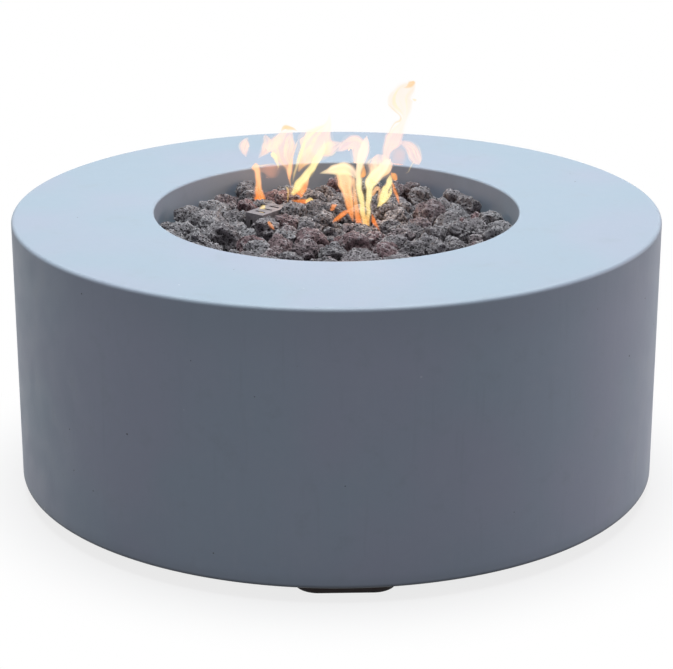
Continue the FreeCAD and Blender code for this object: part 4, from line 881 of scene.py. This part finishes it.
def dialMarks():
    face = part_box("control_panel")[1].y
    low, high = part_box("valve_stem")
    centreX = (low.x + high.x) / 2
    low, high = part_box("valve_bonnet")
    centreZ = low.z / 2 + high.z / 2
    shape = bmesh.new()

    def at(turn, radius, lift):
        angle = math.radians(turn)
        x, z = centreX + radius * math.sin(angle), centreZ + radius * math.cos(angle)
        return shape.verts.new((x, face + lift * dial["proud"], z))

    def slab(rows):  # closed strip from rows of turn, and width outward of the inner radius
        rings = []
        inner = dial["inner"]
        for turn, width in rows:
            outer = inner + width
            rings.append([at(turn, inner, 0), at(turn, outer, 0), at(turn, outer, 1), at(turn, inner, 1)])
        for first, second in zip(rings, rings[1:]):
            bridge(shape, first, second)
        shape.faces.new(rings[0])
        shape.faces.new(list(reversed(rings[-1])))

    wedge = []
    for step in range(dial["steps"] + 1):
        share = step / dial["steps"]
        turn = dial["high"] + (dial["low"] - dial["high"]) * share
        wedge.append((turn, dial["thick"] + (dial["thin"] - dial["thick"]) * share))
    slab(wedge)
    half = math.degrees(dial["offWidth"] / dial["inner"]) / 2
    slab([(turn, dial["offLength"]) for turn in (-half, half)])
    for turn in (dial["high"] - dial["beyond"], dial["low"] + dial["beyond"]):
        slab([(turn + side * half / 2, dial["thick"]) for side in (-1, 1)])
    dressed(pieceFrom("dialMarks", shape), "knob")


dialMarks()
print("dial marked")


# Flames: tongues of glowing gas, which look right from every side. Each is three skins, one in
# another, and the wide ones have streaks inside. They belong to the stage, because fire is no
# piece of the table.

flames = {
    "rows": 44,
    "around": 30,
    "thinnest": 0.0006,  # half width, in metres
    "wall": 0.0022,  # thickness of the glowing sheet
    "wallShare": (0.10, 0.95),  # least and most of its half width that is hollow
    "flat": 0.50,  # depth of a tongue over its width
    "ripple": 0.22,
    "rippleSize": 0.011,
    "flutes": 0.07,
    "waver": 0.0016,
    "sway": 0.005,
    "bright": 1.6,  # light given out for each unit of haze
    "lickSize": 0.012,
    "lickStretch": (1.0, 1.0, 0.30),
    "lickBlur": 0.36,  # how far the licks shift the colours up or down
    "layers": (  # size, share of the density, and whether it is hollow
        (0.74, 0.60, True), (1.00, 0.42, True), (1.20, 0.07, False),
    ),
    "streaked": ("body", "veil", "core"),
    "streakedOver": 0.006,  # half width from which a tongue has streaks
    "strands": 8,  # streaks inside each
    "strandSeed": 500,
    "strandRows": 26,
    "strandWidth": 0.12,
    "strandThin": 0.0007,  # half width before its ends are drawn out
    "strandThinnest": 0.0003,
    "glow": {  # how dense each kind is, and its colours from the rocks upward
        "body": (150.0, (
            (0.00, 0.85, 0.28, 0.08), (0.14, 0.95, 0.44, 0.16), (0.28, 1.0, 0.60, 0.26),
            (0.42, 1.0, 0.66, 0.48), (0.62, 0.92, 0.60, 0.50), (1.00, 0.74, 0.50, 0.38))),
        "column": (300.0, (
            (0.00, 0.80, 0.20, 0.04), (0.08, 0.82, 0.26, 0.07), (0.18, 0.95, 0.45, 0.18),
            (0.27, 1.0, 0.56, 0.28), (0.50, 1.0, 0.66, 0.40))),
        "core": (280.0, (
            (0.00, 0.95, 0.50, 0.14), (0.08, 1.0, 0.78, 0.32), (0.30, 1.0, 0.84, 0.42),
            (0.50, 1.0, 0.72, 0.56), (0.75, 0.94, 0.66, 0.54))),
        "veil": (110.0, (
            (0.00, 0.90, 0.40, 0.16), (0.28, 1.0, 0.55, 0.30), (0.42, 1.0, 0.64, 0.47),
            (0.62, 0.94, 0.60, 0.48), (0.95, 0.92, 0.55, 0.42))),
        "haze": (20.0, ((0.00, 0.90, 0.38, 0.20), (1.00, 1.0, 0.50, 0.36))),
        "ember": (360.0, (
            (0.00, 0.80, 0.20, 0.04), (0.20, 0.85, 0.30, 0.08), (0.40, 0.90, 0.42, 0.14),
            (0.62, 0.62, 0.44, 0.18), (1.00, 0.62, 0.38, 0.14))),
        "streak": (220.0, (
            (0.00, 0.95, 0.50, 0.14), (0.15, 1.0, 0.70, 0.26), (0.30, 1.0, 0.80, 0.36),
            (0.60, 0.96, 0.68, 0.40), (1.00, 0.86, 0.56, 0.27))),
    },
    "low": 0.340,  # height at which the colours start, and their span
    "span": 0.200,
    "fires": {"rearFire": (-0.055, 0.140, 0.395), "middleFire": (0.045, 0.030, 0.395)},
    "firePower": 0.11,  # what the fire throws on the stones and the well
    "fireLight": (1.0, 0.56, 0.26),
    "fireRadius": 0.03,
}
tongues = {  # kind, distance behind the middle, and (across, height, half width) of its rows, in mm
    "leftColumn": ("column", 140, ((-105, 346, 3.6), (-104, 350, 8.1), (-104, 356, 6.6), (-105, 365, 5.2),
        (-106, 375, 4.6), (-106, 386, 4.2), (-107, 393, 4.8), (-110, 397, 5.2), (-111, 398, 2.4))),
    "columnFoot": ("column", 139, ((-95, 348, 0.8), (-103, 350, 2.4), (-111, 349, 2.8), (-115, 348, 1.2))),
    "veilEdge": ("streak", 141, ((-114, 397, 0.6), (-104, 397, 1.2), (-93, 398, 1.0), (-82, 399, 0.6))),
    "leftVeil": ("haze", 150, ((-93, 377, 2.4), (-90, 383, 12.1), (-90, 389, 16.9), (-90, 394, 17.3),
        (-90, 396, 6.4))),
    "leftFan": ("veil", 137, ((-62, 379, 1.6), (-62, 389, 4.4), (-64, 399, 8.4), (-68, 411, 13.2),
        (-69, 424, 16.0), (-67, 436, 12.8), (-63, 445, 7.6), (-60, 451, 2.4))),
    "fanStem": ("column", 134, ((-60, 369, 1.0), (-62, 381, 2.4), (-61, 391, 4.0), (-59, 403, 2.8),
        (-57, 414, 1.8), (-53, 428, 1.4), (-49, 437, 0.4))),
    "rearStem": ("streak", 138, ((-57, 374, 0.6), (-54, 387, 1.8), (-51, 399, 2.6), (-48, 412, 2.8),
        (-43, 426, 2.8), (-39, 435, 0.6))),
    "leftTip": ("ember", 136, ((-73, 447, 0.6), (-68, 452, 3.2), (-64, 453, 3.6), (-57, 451, 2.4),
        (-50, 446, 0.4))),
    "leftWing": ("veil", 132, ((-105, 410, 0.6), (-101, 414, 2.8), (-94, 423, 6.8), (-92, 432, 6.4),
        (-94, 439, 4.4), (-95, 443, 0.8))),
    "wingShoulder": ("veil", 133, ((-92, 422, 4.8), (-83, 430, 8.0), (-76, 437, 7.2), (-69, 443, 3.6),
        (-65, 446, 0.8))),
    "drip": ("streak", 131, ((-78, 394, 0.3), (-78, 400, 2.0), (-79, 407, 2.8), (-82, 414, 4.0),
        (-86, 419, 2.4))),
    "rearLick": ("streak", 128, ((-65, 347, 0.6), (-64, 356, 1.8), (-63, 363, 2.4), (-65, 369, 1.6),
        (-68, 372, 0.4))),
    "rearBand": ("core", 142, ((-62, 345, 1.2), (-57, 355, 4.0), (-48, 369, 6.0), (-37, 383, 6.0),
        (-28, 397, 5.6), (-20, 410, 4.8), (-14, 422, 3.2), (-12, 432, 0.5))),
    "bandRoot": ("column", 146, ((-46, 346, 2.4), (-46, 357, 6.1), (-41, 368, 5.2), (-36, 380, 2.0))),
    "rearMass": ("body", 150, ((-49, 386, 1.6), (-44, 395, 6.0), (-37, 408, 12.9), (-28, 420, 20.0),
        (-21, 430, 21.5), (-15, 440, 15.5), (-9, 449, 7.6), (-5, 457, 3.4), (-5, 467, 0.7))),
    "rearWing": ("veil", 145, ((-22, 413, 5.0), (-16, 416, 7.4), (-5, 420, 10.0), (4, 424, 6.4),
        (11, 429, 1.1))),
    "baseLick": ("column", 114, ((-60, 354, 0.8), (-52, 353, 2.4), (-43, 352, 3.6), (-34, 350, 3.0),
        (-27, 349, 0.8))),
    "baseTip": ("core", 116, ((-40, 350, 2.0), (-36, 352, 3.8), (-31, 353, 3.4), (-27, 354, 1.0))),
    "drift": ("veil", 130, ((-122, 413, 1.1), (-123, 421, 5.6), (-124, 428, 7.3), (-121, 436, 4.7),
        (-118, 440, 1.3))),
    "coreLeft": ("core", 18, ((39, 343, 2.9), (37, 359, 3.9), (35, 374, 4.3), (32, 390, 4.3), (31, 404, 4.8),
        (31, 418, 4.3), (33, 432, 5.3), (36, 446, 7.2), (39, 458, 5.2), (41, 468, 0.7))),
    "coreRight": ("core", 16, ((42, 344, 2.9), (43, 361, 3.4), (44, 378, 3.8), (44, 393, 4.8), (45, 404, 7.2),
        (50, 412, 8.6), (60, 422, 7.7), (67, 430, 5.3), (73, 436, 1.0))),
    "coreRoot": ("column", 20, ((32, 343, 3.9), (29, 358, 4.3), (27, 372, 3.4), (26, 387, 2.9), (24, 402, 2.4),
        (23, 412, 0.6))),
    "coreFoot": ("ember", 17, ((48, 361, 0.7), (50, 354, 2.9), (53, 346, 2.7), (58, 338, 0.5))),
    "coreFork": ("column", 22, ((45, 385, 1.0), (49, 387, 2.4), (54, 395, 2.9), (58, 391, 1.9),
        (56, 380, 0.7))),
    "coreVeil": ("body", 30, ((53, 403, 3.9), (54, 411, 11.1), (57, 418, 15.9), (59, 424, 17.3),
        (60, 432, 14.4), (61, 440, 5.8))),
    "coreWing": ("body", 24, ((30, 430, 6.7), (31, 442, 9.1), (30, 453, 11.0), (24, 459, 10.0), (15, 457, 8.1),
        (7, 450, 4.3), (1, 445, 0.8))),
    "frontLeg": ("column", 20, ((10, 418, 6.0), (10, 414, 10.0), (12, 404, 10.6), (15, 392, 8.2),
        (18, 380, 6.3), (20, 368, 4.8), (22, 357, 3.4), (23, 348, 1.0))),
    "legFoot": ("ember", 19, ((18, 365, 1.4), (13, 363, 2.9), (7, 359, 3.4), (1, 352, 2.9), (-4, 348, 0.7))),
    "leafArm": ("core", 20, ((-22, 417, 0.4), (-11, 420, 4.3), (0, 423, 7.7), (13, 423, 8.1), (22, 417, 6.2),
        (26, 411, 1.0))),
    "lowTongue": ("core", 75, ((59, 345, 0.5), (62, 358, 3.4), (65, 369, 5.9), (69, 377, 5.9), (73, 384, 3.9),
        (75, 393, 4.4), (76, 401, 1.0))),
    "lowBlade": ("core", 76, ((63, 358, 1.5), (71, 365, 3.9), (76, 375, 2.5), (77, 386, 0.7))),
    "lowTip": ("ember", 77, ((77, 402, 1.0), (82, 397, 4.4), (85, 391, 1.5))),
    "lowLeg": ("ember", 85, ((79, 386, 1.5), (82, 375, 2.5), (86, 367, 2.3), (90, 354, 0.6))),
    "redHeart": ("ember", 12, ((32, 413, 1.0), (35, 416, 3.4), (36, 423, 2.9), (37, 429, 0.7))),
    "plume": ("body", 36, ((67, 423, 3.9), (68, 434, 5.6), (71, 447, 8.2), (77, 459, 11.6), (83, 470, 10.3),
        (89, 480, 5.6), (93, 490, 4.7), (92, 500, 10.7), (88, 511, 17.0), (90, 520, 14.5), (97, 528, 10.2),
        (102, 534, 5.1), (105, 540, 0.8))),
    "plumeTip": ("ember", 38, ((90, 529, 0.4), (96, 531, 2.6), (101, 534, 4.7), (105, 539, 1.7))),
    "plumeEdge": ("ember", 34, ((70, 508, 0.3), (79, 500, 1.1), (87, 492, 1.3), (86, 485, 1.5), (78, 482, 1.3),
        (74, 474, 1.0), (70, 466, 0.3))),
    "plumeLobe": ("veil", 40, ((87, 454, 2.6), (94, 452, 5.2), (102, 446, 8.6), (107, 437, 9.0),
        (110, 429, 6.5), (113, 423, 1.3))),
    "lobeHaze": ("haze", 42, ((85, 423, 8.6), (86, 432, 11.2), (87, 443, 11.2), (88, 451, 4.3))),
    "lobeWisp": ("streak", 41, ((106, 426, 0.9), (102, 421, 1.3), (98, 413, 0.9), (95, 409, 0.3))),
    "leftLick": ("core", 78, ((-104, 344, 1.3), (-100, 348, 4.0), (-98, 353, 4.0), (-96, 357, 1.3))),
    "nearLick": ("column", -24, ((-84, 352, 1.0), (-86, 356, 2.6), (-89, 360, 2.4), (-90, 365, 0.6))),
    "smallLick": ("column", 60, ((-6, 354, 1.8), (-3, 359, 3.7), (1, 364, 1.4))),
}


def flowing(rows, count):  # rows joined by a smooth curve
    rows = np.array(rows, float)
    ends = np.vstack([2 * rows[0] - rows[1], rows, 2 * rows[-1] - rows[-2]])
    result = []
    for place in np.linspace(0, len(rows) - 1, count):
        index = min(int(place), len(rows) - 2)
        share = place - index
        before, first, last, after = ends[index:index + 4]
        bend = 2 * before - 5 * first + 4 * last - after
        twist = 3 * first - 3 * last + after - before
        result.append(first + 0.5 * share * (last - before + share * (bend + share * twist)))
    return np.array(result)


def heading(path):  # unit direction of a path at each of its rows, across and upward
    ahead = np.gradient(path[:, :2], axis=0)
    return ahead / (np.linalg.norm(ahead, axis=1)[:, None] + 1e-9)


def gasFinish(name, density, stops):
    made = newFinish(name)
    made.tree.nodes.remove(made.surface)
    share = (made.parts(made.place())[2] - flames["low"]) / flames["span"]
    licks = made.cloud(flames["lickSize"], 2.0, 0.5, flames["lickStretch"])
    colour = made.ramp(stops, share + (licks - 0.5) * flames["lickBlur"])
    light = made.node("ShaderNodeEmission", inputs={"Color": colour, "Strength": density * flames["bright"]})
    dim = made.node("ShaderNodeVolumeAbsorption", inputs={"Color": grey(0.0), "Density": density})
    return made.end("Volume", made.node("ShaderNodeAddShader", inputs={0: light, 1: dim}))


def skins(path, depth, salt, size, hollow):  # rings of points round a path, and the faces between them
    ahead = heading(path)
    turns = np.linspace(0, 2 * math.pi, flames["around"], endpoint=False)
    rings = []
    for index, (across, height, half) in enumerate(path):
        share = index / (len(path) - 1)
        side = np.array([ahead[index][1], 0.0, -ahead[index][0]])
        sway = flames["sway"] * math.sin(2.3 * share * math.pi + salt) * share
        middle = np.array([across, depth / 1000 + sway, height])
        waver = swirl(middle[None], flames["rippleSize"], salt + 7)[0]
        middle[0] += flames["waver"] * waver * min(1.0, 6 * share)
        around = np.outer(np.cos(turns), side) + np.outer(np.sin(turns), (0, flames["flat"], 0))
        rough = 1 + flames["ripple"] * swirl(middle + around * half, flames["rippleSize"], salt)
        rough += flames["flutes"] * np.cos(3 * turns + 9 * share + salt) * (0.3 + share)
        reach = (half * size * rough)[:, None]
        rings.append(middle + around * reach)
        if hollow:
            wall = flames["wall"] * (1 - 0.5 * share ** 2)
            inside = np.clip(1 - wall / (half * flames["flat"]), *flames["wallShare"])
            rings.append(middle + around * reach * inside)
    count = len(turns)
    layers = 2 if hollow else 1
    faces = []

    def band(low, high, flip):
        for turn in range(count):
            after = (turn + 1) % count
            quad = (low + turn, low + after, high + after, high + turn)
            faces.append(quad[::-1] if flip else quad)

    for row in range(len(path) - 1):
        for layer in range(layers):
            low = (layers * row + layer) * count
            band(low, low + layers * count, layer == 1)
    last = layers * (len(path) - 1) * count
    if hollow:
        band(0, count, True)
        band(last, last + count, False)
    else:
        faces += [tuple(range(count - 1, -1, -1)), tuple(range(last, last + count))]
    return np.array(rings).reshape(-1, 3), faces


def alight(name, finish, parts):
    made = meshFrom(name, parts)
    made.data.materials.append(finish.material)
    made.visible_shadow = made.visible_diffuse = made.visible_glossy = False


def strands(path, depth, salt):  # thin streaks that run along a tongue, inside it
    chance = np.random.default_rng(flames["strandSeed"] + salt)
    places = np.linspace(0, 1, len(path))
    made = []
    for _ in range(flames["strands"]):
        first = chance.uniform(0.02, 0.45)
        final = min(chance.uniform(first + 0.3, 1.05), 1.0)
        offset = chance.uniform(-0.95, 0.95)
        twist = chance.uniform(-0.5, 0.5)
        share = np.linspace(first, final, flames["strandRows"])
        rows = np.stack([np.interp(share, places, path[:, axis]) for axis in range(3)], axis=1)
        ahead = heading(rows)
        along = np.linspace(0, 1, len(rows))
        reach = rows[:, 2] * (offset + twist * (along - 0.5))
        rows[:, 0] += ahead[:, 1] * reach
        rows[:, 1] -= ahead[:, 0] * reach
        wide = np.maximum(rows[:, 2] * flames["strandWidth"], flames["strandThin"])
        drawn = np.sin(math.pi * np.clip(along, 0.03, 0.97)) ** 0.6
        rows[:, 2] = np.maximum(wide * drawn, flames["strandThinnest"])
        away = depth + 1000 * np.median(path[:, 2]) * flames["flat"] * chance.uniform(-0.7, 0.7)
        made.append(skins(rows, away, salt, 1.0, False))
    return made


def lightFire():
    for layer, (size, share, hollow) in enumerate(flames["layers"]):
        kinds = {
            kind: gasFinish(f"{kind}Flame{layer}", density * share, stops)
            for kind, (density, stops) in flames["glow"].items()
        }
        for salt, (name, (kind, depth, rows)) in enumerate(tongues.items()):
            within = hollow and kind != "haze"
            path = flowing(rows, flames["rows"]) / 1000
            path[:, 2] = np.maximum(path[:, 2], flames["thinnest"])
            tongue = skins(path, depth, salt + 100 * (layer // 2), size, within)
            alight(f"{name}Flame{layer}", kinds[kind], [tongue])
            if layer == 0 and kind in flames["streaked"] and np.max(path[:, 2]) > flames["streakedOver"]:
                alight(f"{name}Streaks", kinds["streak"], strands(path, depth, salt))
    for name, at in flames["fires"].items():
        light = shining(name, "POINT", at, flames["firePower"], flames["fireLight"])
        light.shadow_soft_size = flames["fireRadius"]
    print("fire lit,", len(tongues), "tongues")


lightFire()


# Floor and light

studio = {
    "floorHalf": 14.0,
    "floorShade": 0.22,
    "floorRoughness": 0.9,
    "floorSpecular": 0.1,
    "shadowShade": 0.80,
    "shadowShare": 0.20,  # how much of the floor's own shading the view shows near the table
    "shadowEdge": (0.42, 0.58),  # radii between which it fades
    "ambient": (0.222, 0.198, 0.235),
    "lampAim": (0.0, 0.0, 0.25),
    "lamps": {  # place, size, power and colour
        "overhead": ((0.0, 0.15, 3.2), 2.6, 114.0, (0.94, 1.0, 1.0)),
        "right": ((3.6, 0.7, 0.9), 1.6, 22.0, (1.0, 0.85, 0.91)),
        "left": ((-3.6, 0.5, 0.9), 1.4, 0.1, (1.0, 0.90, 0.94)),
    },
}


def seenDirectly(made):  # 1 for the view, and for what shines or shows through
    path = made.tree.nodes.new("ShaderNodeLightPath")
    camera, glossy, through = (
        Signal(made, path.outputs[f"Is {kind} Ray"]) for kind in ("Camera", "Glossy", "Transmission")
    )
    return (camera + glossy + through).eased()


def layFloor():
    shade, roughness, specular = grey(studio["floorShade"]), studio["floorRoughness"], studio["floorSpecular"]
    made = newFinish("paleFloor", {"Base Color": shade, "Roughness": roughness, "Specular IOR Level": specular})
    bright = made.node("ShaderNodeEmission", inputs={"Color": grey(1.0), "Strength": 1.0})
    matt = made.node("ShaderNodeBsdfDiffuse", inputs={"Color": grey(studio["shadowShade"])})
    x, y, _ = made.parts(made.place())
    near = 1.0 - ((x * x + y * y) ** 0.5).rise(*studio["shadowEdge"])
    shown = made.node("ShaderNodeMixShader", inputs={0: near * studio["shadowShare"], 1: bright, 2: matt})
    lit = Signal(made, made.surface.outputs["BSDF"])
    made.end("Surface", made.node("ShaderNodeMixShader", inputs={0: seenDirectly(made), 1: lit, 2: shown}))
    corners = np.array([(-1, -1, 0), (1, -1, 0), (1, 1, 0), (-1, 1, 0)]) * studio["floorHalf"]
    floor = meshFrom("floor", [(corners, [range(4)])])
    floor.data.materials.append(made.material)


def lightWorld():
    world = bpy.data.worlds.new("studio")
    scene.world = world
    made = Finish(world)
    colour = made.coats(studio["ambient"], (seenDirectly(made), grey(1.0)))
    made.set(made.tree.nodes["Background"], {"Color": colour, "Strength": 1.0})


def hangLamps():
    for name, (at, size, power, colour) in studio["lamps"].items():
        light = shining(name, "AREA", at, power, colour, Vector(studio["lampAim"]) - Vector(at))
        light.shape = "DISK"
        light.size = size


layFloor()
lightWorld()
hangLamps()
scene.view_settings.view_transform = "Standard"
print("studio lit")
